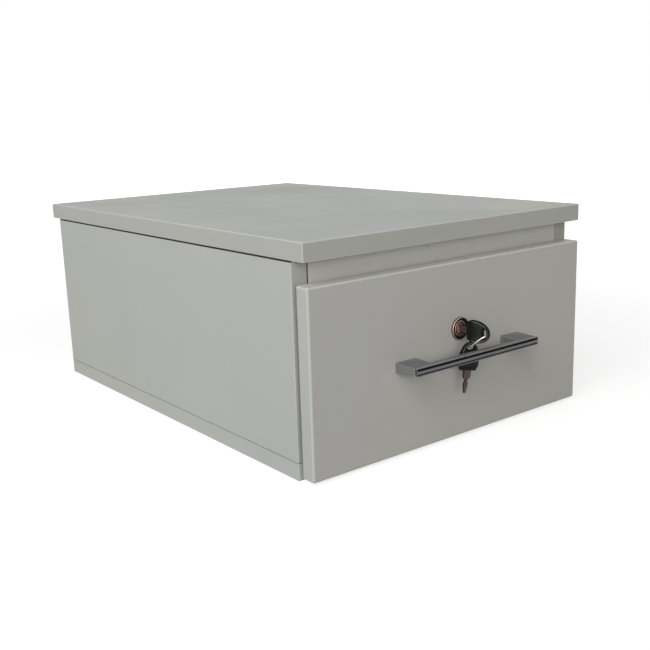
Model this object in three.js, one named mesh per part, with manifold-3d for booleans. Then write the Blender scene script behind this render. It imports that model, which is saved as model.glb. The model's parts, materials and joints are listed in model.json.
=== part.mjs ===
import * as THREE from "three";
import { mergeVertices } from "three/addons/utils/BufferGeometryUtils.js";
import Module from "manifold-3d";

// A lockable drawer unit that hangs under a desk or stands on a floor. All sizes are in millimetres.
// +X is to the right, +Y to the back, +Z up. The origin is the centre of the base panel's underside.

// Driving dimensions of the cabinet
const cabinetWidth = 400;
const cabinetDepth = 535;
const overallHeight = 235;
const boardThickness = 18;
const topThickness = 19;
const topFrontOverhang = 19;
const topBackOverhang = 21;
const railHeight = 70;
const railSideGap = 0.75;

// Driving dimensions of the drawer
const frontThickness = 18;
const frontStandOff = 3;
const frontReveal = 2;
const frontBottomGap = 3;
const fingerGap = 23;
const drawerBackClearance = 19.75;
const drawerTopClearance = 5.75;
const drawerFloorClearance = 8;
const drawerBoardThickness = 15;
const drawerBottomThickness = 6;
const grooveDepth = 7;
const grooveRise = 10;

// Gaps that every fit shares
const seatGap = 0.25; // between faces that rest on each other
const cutClearance = 0.3; // round a screw, pin or panel in its hole or groove
const runningGap = 0.2; // round what turns or slides
const cutOverrun = 2; // how far a cut runs past the face that it opens
const weldDistance = 1e-4; // corners closer than this are one corner

// Places that follow from the driving dimensions
const halfWidth = cabinetWidth / 2;
const cabinetFront = -cabinetDepth / 2;
const cabinetBack = cabinetDepth / 2;
const innerHalf = halfWidth - boardThickness;
const topUnderside = overallHeight - topThickness;
const sideBottom = boardThickness + seatGap;
const sideTop = topUnderside - seatGap;
const railBottom = sideTop - railHeight;
const frontRear = cabinetFront - frontStandOff;
const frontFace = frontRear - frontThickness;
const frontTop = topUnderside - fingerGap;
const boxBottom = boardThickness + drawerFloorClearance;
const boxTop = railBottom - drawerTopClearance;
const boxFront = frontRear + seatGap;
const boxBack = cabinetBack - boardThickness - drawerBackClearance;

const wasm = await Module();
wasm.setup();

// Materials, by the finish that each piece has
const finish = (color, roughness, metalness) =>
  new THREE.MeshStandardMaterial({ color, roughness, metalness });
const board = finish(0xb4b7b2, 0.45, 0);
const drawerBoard = finish(0xc9cac6, 0.55, 0);
const beech = finish(0xc8a878, 0.7, 0);
const zincSteel = finish(0xb9bcbf, 0.35, 0.9);
const ballSteel = finish(0xd5d7da, 0.15, 1);
const satinNickel = finish(0x737371, 0.4, 0.9);
const chrome = finish(0xcfd1d3, 0.08, 1);
const darkChrome = finish(0x656566, 0.12, 1);
const bronze = finish(0x7c6859, 0.3, 0.9);
const castZinc = finish(0x9a9b9c, 0.5, 0.8);
const keySteel = finish(0x7c716c, 0.3, 0.9);
const blackPlastic = finish(0x1c1e1e, 0.4, 0);

// A three.js geometry as a closed solid that can be joined and cut.
function solid(geometry) {
  const bare = geometry.index ? geometry.toNonIndexed() : geometry.clone();
  bare.deleteAttribute("normal");
  bare.deleteAttribute("uv");
  const merged = mergeVertices(bare, weldDistance);
  const corners = merged.index.array;
  const kept = [];
  for (let i = 0; i < corners.length; i += 3) {
    const [a, b, c] = [corners[i], corners[i + 1], corners[i + 2]];
    if (a !== b && b !== c && c !== a) kept.push(a, b, c);
  }
  return new wasm.Manifold(
    new wasm.Mesh({
      numProp: 3,
      vertProperties: merged.attributes.position.array,
      triVerts: new Uint32Array(kept),
    }),
  );
}

// A solid's surface as a three.js geometry.
function surface(made) {
  const mesh = made.getMesh();
  const geometry = new THREE.BufferGeometry();
  const corners = new Float32Array(mesh.vertProperties);
  const triangles = new Uint32Array(mesh.triVerts);
  geometry.setAttribute("position", new THREE.BufferAttribute(corners, 3));
  geometry.setIndex(new THREE.BufferAttribute(triangles, 1));
  geometry.computeVertexNormals();
  return geometry;
}

const cut = (body, ...tools) => tools.reduce((left, tool) => left.subtract(tool), body);
const join = (...bodies) => bodies.reduce((all, body) => all.add(body));
const about = (middle, size) => [middle - size / 2, middle + size / 2];

// A block between two values on each axis.
function block([x0, x1], [y0, y1], [z0, z1]) {
  const geometry = new THREE.BoxGeometry(x1 - x0, y1 - y0, z1 - z0);
  return solid(geometry.translate((x0 + x1) / 2, (y0 + y1) / 2, (z0 + z1) / 2));
}

const directions = {
  left: new THREE.Vector3(-1, 0, 0),
  right: new THREE.Vector3(1, 0, 0),
  front: new THREE.Vector3(0, -1, 0),
  back: new THREE.Vector3(0, 1, 0),
  down: new THREE.Vector3(0, 0, -1),
  up: new THREE.Vector3(0, 0, 1),
};
const outward = (side) => (side < 0 ? "left" : "right");
const inward = (side) => (side < 0 ? "right" : "left");

const turnTo = (direction) =>
  new THREE.Quaternion().setFromUnitVectors(directions.back, directions[direction]);
const ordered = (a, b) => [Math.min(a, b), Math.max(a, b)];

// A turned piece. Its profile is [radius, distance] pairs along a direction from a point.
function turned(profile, direction, at, sides) {
  const points = profile.map(([radius, along]) => new THREE.Vector2(radius, along));
  const geometry = new THREE.LatheGeometry(points, sides);
  return solid(geometry.applyQuaternion(turnTo(direction)).translate(...at));
}

// A round rod from one distance to another along a direction from a point.
function rod(radius, from, to, direction, at, sides) {
  const profile = [
    [0, from],
    [radius, from],
    [radius, to],
    [0, to],
  ];
  return turned(profile, direction, at, sides);
}

// A screw with a cross recess. Its head seats at the point, and its shank runs along the direction.
const screwHeadShares = { crownRadius: 0.8, rimHeight: 0.6, recessWidth: 0.24, recessLength: 1.1 };
function screw(size, direction, at) {
  const { headRadius, headHeight, shankRadius, length } = size;
  const { crownRadius, rimHeight, recessWidth, recessLength } = screwHeadShares;
  const tipLength = shankRadius * 2;
  const profile = [
    [0, -headHeight],
    [headRadius * crownRadius, -headHeight],
    [headRadius, -headHeight * rimHeight],
    [headRadius, 0],
    [shankRadius, 0],
    [shankRadius, length - tipLength],
    [0, length],
  ];
  const recess = (across, along) => {
    const bar = new THREE.BoxGeometry(headRadius * across, headHeight, headRadius * along);
    return solid(bar.translate(0, -headHeight, 0).applyQuaternion(turnTo(direction)).translate(...at));
  };
  const head = turned(profile, direction, at, 12);
  return cut(head, recess(recessWidth, recessLength), recess(recessLength, recessWidth));
}

// The hole that a screw's shank needs, open past the face that it enters.
function screwHole(size, direction, at) {
  const hole = [size.shankRadius + cutClearance, -cutOverrun, size.length + cutClearance];
  return rod(...hole, direction, at, 12);
}

// Adds a piece to a group under its node name, placed at the middle of its box.
function add(group, name, made, material) {
  const geometry = surface(made);
  geometry.computeBoundingBox();
  const middle = geometry.boundingBox.getCenter(new THREE.Vector3());
  const mesh = new THREE.Mesh(geometry.translate(-middle.x, -middle.y, -middle.z), material);
  mesh.name = name;
  mesh.position.copy(middle);
  group.add(mesh);
}

const bothSides = [-1, 1];
const sideName = (name, side) => name + (side < 0 ? "_left" : "_right");
const endName = (end) => (end < 0 ? "_front" : "_back");

// Base screws rise through the base into the sides, and dowels join the sides to the top.
const baseScrew = { headRadius: 5, headHeight: 4, shankRadius: 3.2, length: 46 };
const baseScrewSink = 0.5;
const baseScrewInset = 57.5; // from the cabinet's front and back
const dowelRadius = 4;
const dowelInSide = 20;
const dowelInTop = 11;
const dowelInset = 47.5; // from the cabinet's front and back
const edgeMiddle = halfWidth - boardThickness / 2;
const baseScrewSeat = baseScrewSink + baseScrew.headHeight;

// Four places in the edges of the sides, two on each, at an inset from the cabinet's ends and a height.
const cornerPlaces = (inset, z) =>
  bothSides.flatMap((side) =>
    bothSides.map((end) => ({ side, end, at: [side * edgeMiddle, end * (cabinetBack - inset), z] })),
  );
const baseScrewPlaces = cornerPlaces(baseScrewInset, baseScrewSeat);
const dowelPlaces = cornerPlaces(dowelInset, topUnderside);

function dowelHole({ at }) {
  const span = [-dowelInSide - cutClearance, dowelInTop + cutClearance];
  return rod(dowelRadius + cutClearance, ...span, "up", at, 12);
}

function baseScrewHole({ at }) {
  const sink = [baseScrew.headRadius + cutClearance, -baseScrewSeat - cutOverrun, seatGap];
  return join(screwHole(baseScrew, "up", at), rod(...sink, "up", at, 16));
}

// The slide's sizes. Its depth runs from the cabinet side to the drawer side.
const slideSpace = 12.7;
const slideSetback = 3;
const slideBackClearance = 14;
const slideHeight = 45.7;
const slideSteel = 1.2;
const slideLayerGap = 0.4;
const cabinetFlange = 9.6;
const midFlange = 10.6;
const ballDiameter = 3.2;
const ballPlay = 0.12;
const ballsPerRow = 4;
const cageSteel = 0.6;
const cageLength = 180;
const cageFlangeShare = 0.86;
const cabinetRailScrew = { headRadius: 3.8, headHeight: 0.9, shankRadius: 1.75, length: 14 };
const cabinetScrewInset = 17;
const drawerRailScrew = { headRadius: 3.8, headHeight: 1.5, shankRadius: 1.75, length: 11 };
const drawerScrewInset = 40;
const slideAlong = [cabinetFront + slideSetback, cabinetBack - boardThickness - slideBackClearance];
const slideZ = (boxBottom + boxTop) / 2;

// The layers of a slide, as distances from the cabinet side's face
const cabinetWeb = [seatGap, seatGap + slideSteel];
const outerCageWeb = [cabinetWeb[1] + slideLayerGap, cabinetWeb[1] + slideLayerGap + cageSteel];
const midWeb = [outerCageWeb[1] + slideLayerGap, outerCageWeb[1] + slideLayerGap + slideSteel];
const innerCageWeb = [midWeb[1] + slideLayerGap, midWeb[1] + slideLayerGap + cageSteel];
const drawerWeb = [slideSpace - seatGap - slideSteel, slideSpace - seatGap];
const drawerFlangeTip = innerCageWeb[1] + slideLayerGap;
// Half heights of the members' outer faces, from the outside in
const ballTrack = ballDiameter + 2 * ballPlay;
const cabinetHalf = slideHeight / 2;
const midHalf = cabinetHalf - slideSteel - ballTrack;
const drawerHalf = midHalf - slideSteel - ballTrack;
// Where the two rows of balls run
const outerBallRow = { depth: (midWeb[1] + cabinetFlange) / 2, rise: midHalf + ballTrack / 2 };
const innerBallRow = { depth: (drawerFlangeTip + midFlange) / 2, rise: drawerHalf + ballTrack / 2 };

// The range on X between two distances from one cabinet side's face
const fromWall = (side, [near, far]) => ordered(side * (innerHalf - near), side * (innerHalf - far));

// A channel of bent steel along Y, with a web and two flanges.
function channel(side, web, flangeSpan, half, steel, along) {
  const flange = (up) =>
    block(fromWall(side, flangeSpan), along, ordered(slideZ + up * half, slideZ + up * (half - steel)));
  return join(block(fromWall(side, web), along, about(slideZ, 2 * half)), flange(1), flange(-1));
}

// A ball cage: a thin channel with the balls that it spaces, seated in its flanges.
function ballCage(side, web, row) {
  const along = about((slideAlong[0] + slideAlong[1]) / 2, cageLength);
  const reach = row.depth + ballDiameter * cageFlangeShare;
  const strip = channel(side, web, [web[0], reach], row.rise + cageSteel / 2, cageSteel, along);
  const pitch = cageLength / ballsPerRow;
  const balls = bothSides.flatMap((up) =>
    Array.from({ length: ballsPerRow }, (_, i) => {
      const ball = new THREE.SphereGeometry(ballDiameter / 2, 6, 4);
      const y = along[0] + pitch * (i + 1 / 2);
      return solid(ball.translate(side * (innerHalf - row.depth), y, slideZ + up * row.rise));
    }),
  );
  return join(strip, ...balls);
}

// The two places along a slide for screws at an inset from its ends, at a depth from the cabinet side
function railScrewPlaces(side, inset, depth) {
  const [front, back] = slideAlong;
  return [front + inset, back - inset].map((y) => [side * (innerHalf - depth), y, slideZ]);
}
const cabinetScrewPlaces = (side) => railScrewPlaces(side, cabinetScrewInset, cabinetWeb[1] + seatGap);
const drawerScrewPlaces = (side) => railScrewPlaces(side, drawerScrewInset, drawerWeb[0] - seatGap);
const cabinetScrewHoles = (side) =>
  cabinetScrewPlaces(side).map((at) => screwHole(cabinetRailScrew, outward(side), at));
const drawerScrewHoles = (side) =>
  drawerScrewPlaces(side).map((at) => screwHole(drawerRailScrew, inward(side), at));

// The strike plate under the rail, with the slot that the bolt rises into
const strikeLength = 64;
const strikeWidth = 14;
const strikeInset = 0.75;
const strikeThickness = 1.5;
const strikeClearance = 0.8;
const mortiseDepth = 11;
const strikeScrew = { headRadius: 3, headHeight: 0.8, shankRadius: 1.6, length: 15 };
const strikeScrewSpacing = 52;
const strikeTop = railBottom - seatGap;
const strikeBottom = strikeTop - strikeThickness;
const strikeFront = cabinetFront + strikeInset;
const strikeScrewPlaces = bothSides.map((side) => ({
  side,
  at: [(side * strikeScrewSpacing) / 2, strikeFront + strikeWidth / 2, strikeBottom - seatGap],
}));

// The drawer lock: a flanged barrel in the front, a turning plug, and a bolt that the plug's nib lifts
const lockDrop = 2; // from the strike plate down to the lock's case
const lockCaseSize = 40;
const lockPlate = 2;
const lockCoverDepth = 10;
const lockWall = 1.5;
const barrelRadius = 9.5;
const barrelProud = 1.6;
const plugRadius = 7;
const plugProud = 1.4;
const discMargin = 0.3;
const boltSetback = 3.25;
const boltThickness = 4.5;
const boltWidth = 22;
const boltBelowAxis = 14;
const nibRadius = 1.5;
const nibOffset = 7; // the bolt's lift in a quarter turn
const nibFloatShare = 0.211; // how far the nib leaves a steady lift
const nibGap = 0.6;
const rosetteRadius = 12.2;
const rosetteProud = 2.4;
const rosetteLipShare = 0.72;
const keyTipRoom = 1.6;
const lockScrew = { headRadius: 3.2, headHeight: 1.6, shankRadius: 1.6, length: 20 };
const lockScrewInset = 4.6;
const lockZ = strikeBottom - lockDrop - lockCaseSize / 2;
const plateFront = frontRear + seatGap;
const plateRear = plateFront + lockPlate;
const coverFront = plateRear + seatGap;
const coverRear = coverFront + lockCoverDepth;
const boltSpan = [plateRear + boltSetback, plateRear + boltSetback + boltThickness];
const boltTop = lockZ + lockCaseSize / 2;
const lockAxis = [0, plateRear, lockZ];
const barrelReach = plateRear - frontFace + barrelProud;
const plugReach = plateRear - frontFace + plugProud;
const lockScrewPlaces = bothSides.map((side) => {
  const arm = side * (lockCaseSize / 2 - lockScrewInset);
  return { side, at: [arm, coverRear + seatGap, lockZ + arm] };
});
const lockScrewHoles = () => lockScrewPlaces.map(({ at }) => screwHole(lockScrew, "front", at));
const strikeSlot = [
  about(0, boltWidth + 2 * strikeClearance),
  [boltSpan[0] - strikeClearance, boltSpan[1] + strikeClearance],
];

// The upright range and the depth that the sides and the back share
const standing = [sideBottom, sideTop];
const carcassDepth = [cabinetFront, cabinetBack];

function topPanel() {
  const depth = [cabinetFront - topFrontOverhang, cabinetBack + topBackOverhang];
  const slab = block([-halfWidth, halfWidth], depth, [topUnderside, overallHeight]);
  return cut(slab, ...dowelPlaces.map(dowelHole));
}

function sidePanel(side) {
  const here = (place) => place.side === side;
  return cut(
    block(ordered(side * halfWidth, side * innerHalf), carcassDepth, standing),
    ...dowelPlaces.filter(here).map(dowelHole),
    ...baseScrewPlaces.filter(here).map(baseScrewHole),
    ...cabinetScrewHoles(side),
  );
}

function basePanel() {
  const slab = block([-halfWidth, halfWidth], carcassDepth, [0, boardThickness]);
  return cut(slab, ...baseScrewPlaces.map(baseScrewHole));
}

function backPanel() {
  const depth = [cabinetBack - boardThickness, cabinetBack];
  return block([-innerHalf + seatGap, innerHalf - seatGap], depth, standing);
}

const strikeScrewHoles = () => strikeScrewPlaces.map(({ at }) => screwHole(strikeScrew, "up", at));

function frontRail() {
  const half = innerHalf - railSideGap;
  return cut(
    block([-half, half], [cabinetFront, cabinetFront + boardThickness], [railBottom, sideTop]),
    block(...strikeSlot, [railBottom - cutOverrun, railBottom + mortiseDepth]),
    ...strikeScrewHoles(),
  );
}

function strikePlate() {
  return cut(
    block(about(0, strikeLength), [strikeFront, strikeFront + strikeWidth], [strikeBottom, strikeTop]),
    block(...strikeSlot, [strikeBottom - cutOverrun, strikeTop + cutOverrun]),
    ...strikeScrewHoles(),
  );
}

function makeCabinet() {
  const cabinet = new THREE.Group();
  add(cabinet, "top_panel", topPanel(), board);
  for (const side of bothSides) add(cabinet, sideName("side_panel", side), sidePanel(side), board);
  add(cabinet, "base_panel", basePanel(), board);
  add(cabinet, "back_panel", backPanel(), board);
  add(cabinet, "front_rail", frontRail(), board);
  add(cabinet, "strike_plate", strikePlate(), zincSteel);
  for (const { side, at } of strikeScrewPlaces)
    add(cabinet, sideName("strike_screw", side), screw(strikeScrew, "up", at), zincSteel);
  for (const { side, end, at } of dowelPlaces) {
    const dowel = rod(dowelRadius, -dowelInSide, dowelInTop, "up", at, 12);
    add(cabinet, sideName("top_dowel", side) + endName(end), dowel, beech);
  }
  for (const { side, end, at } of baseScrewPlaces)
    add(cabinet, sideName("base_screw", side) + endName(end), screw(baseScrew, "up", at), zincSteel);
  return cabinet;
}

function cabinetRail(side) {
  const flangeSpan = [cabinetWeb[0], cabinetFlange];
  const rail = channel(side, cabinetWeb, flangeSpan, cabinetHalf, slideSteel, slideAlong);
  return cut(rail, ...cabinetScrewHoles(side));
}

function drawerRail(side) {
  const flangeSpan = [drawerFlangeTip, drawerWeb[1]];
  const rail = channel(side, drawerWeb, flangeSpan, drawerHalf, slideSteel, slideAlong);
  return cut(rail, ...drawerScrewHoles(side));
}

const midRail = (side) =>
  channel(side, midWeb, [midWeb[0], midFlange], midHalf, slideSteel, slideAlong);

function makeSlides() {
  const slides = new THREE.Group();
  for (const side of bothSides) {
    const outerCage = ballCage(side, outerCageWeb, outerBallRow);
    const innerCage = ballCage(side, innerCageWeb, innerBallRow);
    add(slides, sideName("cabinet_rail", side), cabinetRail(side), zincSteel);
    add(slides, sideName("mid_rail", side), midRail(side), zincSteel);
    add(slides, sideName("drawer_rail", side), drawerRail(side), zincSteel);
    add(slides, sideName("outer_ball_cage", side), outerCage, ballSteel);
    add(slides, sideName("inner_ball_cage", side), innerCage, ballSteel);
    bothSides.forEach((end, i) => {
      const cabinetScrew = screw(cabinetRailScrew, outward(side), cabinetScrewPlaces(side)[i]);
      const drawerScrew = screw(drawerRailScrew, inward(side), drawerScrewPlaces(side)[i]);
      add(slides, sideName("cabinet_rail_screw", side) + endName(end), cabinetScrew, zincSteel);
      add(slides, sideName("drawer_rail_screw", side) + endName(end), drawerScrew, zincSteel);
    });
  }
  return slides;
}

// The bar handle, whose feet stand on the drawer front
const handleLength = 183;
const handleBelowLock = 25;
const footWidth = 27;
const footHeight = 10.6;
const barHeight = 8.2;
const barRear = 21.5;
const barFront = 30.5;
const barRise = 0.4; // the bar's middle above the feet's middle
const trimDepth = 3;
const trimHeight = 7.1;
const trimFlat = 3.2;
const trimProud = 0.5;
const handleScrewInset = 11.5; // from the handle's ends
const handleScrew = { headRadius: 4, headHeight: 2.4, shankRadius: 2, length: 30 };
const handleZ = lockZ - handleBelowLock;
const barZ = handleZ + barRise;
const gripHalf = handleLength / 2;
const handleScrewPlaces = bothSides.map((side) => ({
  side,
  at: [side * (gripHalf - handleScrewInset), frontRear + seatGap, handleZ],
}));
const handleScrewHoles = () => handleScrewPlaces.map(({ at }) => screwHole(handleScrew, "front", at));

// An outline in the Y-Z plane, pulled along X.
function alongX(outline, [x0, x1]) {
  const shape = new THREE.Shape(outline.map(([y, z]) => new THREE.Vector2(y, z)));
  const geometry = new THREE.ExtrudeGeometry(shape, { depth: x1 - x0, bevelEnabled: false });
  const axes = new THREE.Matrix4().makeBasis(directions.back, directions.up, directions.right);
  return solid(geometry.applyMatrix4(axes).translate(x0, 0, 0));
}

function handleGrip() {
  const front = frontFace - barFront;
  const rear = frontFace - barRear;
  const footOutline = [
    [rear, barZ - barHeight / 2],
    [front, barZ - barHeight / 2],
    [front, barZ + barHeight / 2],
    [rear, barZ + barHeight / 2],
    [frontFace - seatGap, handleZ + footHeight / 2],
    [frontFace - seatGap, handleZ - footHeight / 2],
  ];
  const feet = [ordered(-gripHalf, footWidth - gripHalf), ordered(gripHalf - footWidth, gripHalf)];
  const bar = block([-gripHalf, gripHalf], [front, rear], about(barZ, barHeight));
  const rebateX = about(0, handleLength + 2 * cutOverrun);
  const rebate = block(rebateX, [front - cutOverrun, front + trimDepth], about(barZ, trimHeight));
  const whole = join(bar, ...feet.map((span) => alongX(footOutline, span)));
  return cut(whole, rebate, ...handleScrewHoles());
}

function handleTrim() {
  const rear = frontFace - barFront + trimDepth - seatGap;
  const face = frontFace - barFront - trimProud;
  const half = trimHeight / 2 - seatGap;
  const shoulder = face + half - trimFlat / 2;
  const outline = [
    [shoulder, barZ - half],
    [face, barZ - trimFlat / 2],
    [face, barZ + trimFlat / 2],
    [shoulder, barZ + half],
    [rear, barZ + half],
    [rear, barZ - half],
  ];
  return alongX(outline, [-gripHalf, gripHalf]);
}

function makeHandle() {
  const handle = new THREE.Group();
  add(handle, "handle_grip", handleGrip(), satinNickel);
  add(handle, "handle_trim", handleTrim(), darkChrome);
  for (const { side, at } of handleScrewPlaces)
    add(handle, sideName("handle_screw", side), screw(handleScrew, "front", at), zincSteel);
  return handle;
}

// The bolt and cam that draw each drawer side against the front
const camRadius = 7.5;
const camDepth = 12;
const camSetback = 34;
const camSlot = 4;
const thread = { radius: 2.5, length: 11 };
const collar = { radius: 3.3, length: 3 };
const shank = { radius: 2.4 };
const neck = { radius: 1.6, length: 2.5 };
const boltHead = { radius: 3, length: 3 };
const boxOuter = innerHalf - slideSpace;
const boxInner = boxOuter - drawerBoardThickness;
const camX = (boxOuter + boxInner) / 2;
const camY = boxFront + camSetback;
const camBoltStart = (side) => [side * camX, frontRear, slideZ];
const camFace = (side) => [side * boxInner, camY, slideZ];

// The drawer's bottom lies in grooves in its sides and back.
const bottomZ = [boxBottom + grooveRise, boxBottom + grooveRise + drawerBottomThickness];
const grooveZ = [bottomZ[0] - cutClearance, bottomZ[1] + cutClearance];
const backBoardFront = boxBack - drawerBoardThickness;
const boxHeight = [boxBottom, boxTop];

function drawerFront() {
  const half = halfWidth - frontReveal;
  const threadHole = [thread.radius + cutClearance, -cutOverrun, thread.length + cutClearance];
  const barrelHole = [barrelRadius + cutClearance, -cutOverrun, frontThickness + cutOverrun];
  return cut(
    block([-half, half], [frontFace, frontRear], [frontBottomGap, frontTop]),
    rod(...barrelHole, "front", [0, frontRear, lockZ], 32),
    ...handleScrewHoles(),
    ...lockScrewHoles(),
    ...bothSides.map((side) => rod(...threadHole, "front", camBoltStart(side), 12)),
  );
}

function drawerSide(side) {
  const grooveX = ordered(side * (boxInner + grooveDepth), side * (boxInner - cutOverrun));
  const boltHole = [collar.radius + cutClearance, -cutOverrun, camSetback];
  const camHole = [camRadius + cutClearance, -cutOverrun, camDepth + cutClearance];
  return cut(
    block(ordered(side * boxOuter, side * boxInner), [boxFront, boxBack], boxHeight),
    block(grooveX, [boxFront - cutOverrun, backBoardFront + grooveDepth], grooveZ),
    rod(...boltHole, "back", [side * camX, boxFront, slideZ], 16),
    rod(...camHole, outward(side), camFace(side), 24),
    ...drawerScrewHoles(side),
  );
}

function camBolt(side) {
  const headEnd = seatGap + camSetback + boltHead.length / 2;
  const neckEnd = headEnd - boltHead.length;
  const shankEnd = neckEnd - neck.length;
  const collarEnd = seatGap + collar.length;
  const profile = [
    [0, -thread.length],
    [thread.radius, -thread.length],
    [thread.radius, seatGap],
    [collar.radius, seatGap],
    [collar.radius, collarEnd],
    [shank.radius, collarEnd],
    [shank.radius, shankEnd],
    [neck.radius, shankEnd],
    [neck.radius, neckEnd],
    [boltHead.radius, neckEnd],
    [boltHead.radius, headEnd],
    [0, headEnd],
  ];
  return turned(profile, "back", camBoltStart(side), 12);
}

function camDisc(side) {
  const middle = [side * camX, camY, slideZ];
  const pocketSpan = [-camRadius - cutOverrun, boltHead.length / 2 + cutClearance];
  const pocket = rod(boltHead.radius + cutClearance, ...pocketSpan, "back", middle, 16);
  const slot = block(
    ordered(side * (boxInner - cutOverrun), side * (boxInner + camSlot / 2)),
    about(camY, camSlot / 2),
    about(slideZ, 2 * camSlot),
  );
  return cut(rod(camRadius, seatGap, camDepth, outward(side), camFace(side), 24), pocket, slot);
}

function drawerBack() {
  const half = boxInner - seatGap;
  const grooveX = about(0, 2 * (half + cutOverrun));
  const groove = block(grooveX, [backBoardFront - cutOverrun, backBoardFront + grooveDepth], grooveZ);
  return cut(block([-half, half], [backBoardFront, boxBack], boxHeight), groove);
}

function drawerBottom() {
  const half = boxInner + grooveDepth - cutClearance;
  return block([-half, half], [boxFront, backBoardFront + grooveDepth - cutClearance], bottomZ);
}

function makeDrawer() {
  const drawer = new THREE.Group();
  add(drawer, "drawer_front", drawerFront(), board);
  for (const side of bothSides) {
    add(drawer, sideName("drawer_side", side), drawerSide(side), drawerBoard);
    add(drawer, sideName("cam_bolt", side), camBolt(side), zincSteel);
    add(drawer, sideName("cam_disc", side), camDisc(side), castZinc);
  }
  add(drawer, "drawer_back", drawerBack(), drawerBoard);
  add(drawer, "drawer_bottom", drawerBottom(), drawerBoard);
  return drawer;
}

// The two keys are alike. Each is drawn tip down, its shoulder at the origin and its width along X.
const bowLength = 30;
const bowWidth = 24;
const bowThickness = 3.6;
const bladeLength = 24.7;
const bladeWidth = 8.6;
const bladeThickness = 2;
const bladeInBow = 13;
const slotLength = 9;
const slotWidth = 5;
const slotFromEnd = 5.2; // the slot's middle, from the bow's far end
const curveSteps = 5;
const keyShoulderProud = 11.5; // the first key's shoulder, from the drawer front's face
// Half widths of the bow as shares of its width, at shares of its length from the shoulder
const bowShares = {
  shoulder: 0.34,
  corner: 0.42,
  cornerRise: 0.08,
  flank: 0.5,
  flankBend: 0.18,
  flankRise: 0.36,
  crown: 0.3,
};
// Half widths of the blade as shares of its width, at shares of its length from the shoulder
const bladeShares = [
  [0.5, 0],
  [0.5, 0.26],
  [0.47, 0.31],
  [0.16, 0.44],
  [0.34, 0.57],
  [0.29, 0.74],
  [0.17, 0.94],
  [0.08, 1],
];

function bladeOutline() {
  const point = (across, up) => new THREE.Vector2(across, up);
  const right = bladeShares.map(([across, down]) => point(across * bladeWidth, -down * bladeLength));
  const left = right.map(({ x, y }) => point(-x, y)).reverse();
  const shank = [point(-bladeWidth / 2, bladeInBow), point(bladeWidth / 2, bladeInBow)];
  return new THREE.Shape([...right, ...left, ...shank].reverse());
}

function bowOutline() {
  const at = (across, along) => [across * bowWidth, along * bowLength];
  const { shoulder, corner, cornerRise, flank, flankBend, flankRise, crown } = bowShares;
  const bend = (side) => [...at(side * flank, flankBend), ...at(side * flank, flankBend)];
  const shape = new THREE.Shape();
  shape.moveTo(...at(-shoulder, 0));
  shape.lineTo(...at(shoulder, 0));
  shape.quadraticCurveTo(...at(corner, 0), ...at(corner, cornerRise));
  shape.bezierCurveTo(...bend(1), ...at(flank, flankRise));
  shape.bezierCurveTo(...at(flank, 1 - crown), ...at(crown, 1), ...at(0, 1));
  shape.bezierCurveTo(...at(-crown, 1), ...at(-flank, 1 - crown), ...at(-flank, flankRise));
  shape.bezierCurveTo(...bend(-1), ...at(-corner, cornerRise));
  shape.quadraticCurveTo(...at(-corner, 0), ...at(-shoulder, 0));
  shape.holes.push(bowSlot());
  return shape;
}

function bowSlot() {
  const slot = new THREE.Path();
  const round = slotWidth / 2;
  const straight = slotLength / 2 - round;
  const middle = bowLength - slotFromEnd;
  slot.absarc(straight, middle, round, -Math.PI / 2, Math.PI / 2, false);
  slot.absarc(-straight, middle, round, Math.PI / 2, (3 * Math.PI) / 2, false);
  return slot;
}

// A flat outline in the X-Z plane given a thickness along Y, with its middle at Y zero.
function plate(shape, thickness) {
  const geometry = new THREE.ExtrudeGeometry(shape, {
    depth: thickness,
    bevelEnabled: false,
    curveSegments: curveSteps,
  });
  const axes = new THREE.Matrix4().makeBasis(directions.right, directions.up, directions.front);
  return solid(geometry.translate(0, 0, -thickness / 2).applyMatrix4(axes));
}

function makeKey(bladeName, bowName) {
  const key = new THREE.Group();
  const pocketWidth = about(0, bladeWidth + 2 * seatGap);
  const pocketDepth = about(0, bladeThickness + 2 * seatGap);
  const pocket = block(pocketWidth, pocketDepth, [-cutOverrun, bladeInBow + seatGap]);
  add(key, bladeName, plate(bladeOutline(), bladeThickness), keySteel);
  add(key, bowName, cut(plate(bowOutline(), bowThickness), pocket), blackPlastic);
  return key;
}

// The wire loop runs from the first key's slot, over the handle's bar, to the spare key behind it.
const wireRadius = 0.55;
const wireSides = 6;
const loopSteps = 40;
const loopLength = 27.3;
const loopWidth = 12.5;
const loopSlope = THREE.MathUtils.degToRad(28.4);
const loopTwist = THREE.MathUtils.degToRad(50);
const loopPastSlot = 0.7; // the loop's near end, past the slot's middle towards the bow's end
const loopStartDrop = 2.6; // the loop's near end below the lock's axis
const spareRimFromEnd = 4; // the spare bow's rim, back along the loop from its far end
const spareTurn = THREE.MathUtils.degToRad(-15);
const spareTilt = THREE.MathUtils.degToRad(9);
const slotY = frontFace - keyShoulderProud - bowLength + slotFromEnd;
const loopStart = new THREE.Vector3(0, slotY - loopPastSlot, lockZ - loopStartDrop);
const loopAlong = new THREE.Vector3(0, Math.cos(loopSlope), -Math.sin(loopSlope));
const loopRise = new THREE.Vector3().crossVectors(directions.right, loopAlong);

// An oval that twists between its ends, so that each key's rim lies across it.
class TwistedLoop extends THREE.Curve {
  getPoint(t, target = new THREE.Vector3()) {
    const angle = 2 * Math.PI * t;
    const along = (loopLength / 2) * (1 - Math.cos(angle));
    const across = (loopWidth / 2) * Math.sin(angle);
    const twist = (loopTwist * along) / loopLength;
    return target
      .copy(loopStart)
      .addScaledVector(loopAlong, along)
      .addScaledVector(directions.right, across * Math.cos(twist))
      .addScaledVector(loopRise, across * Math.sin(twist));
  }
}

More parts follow.
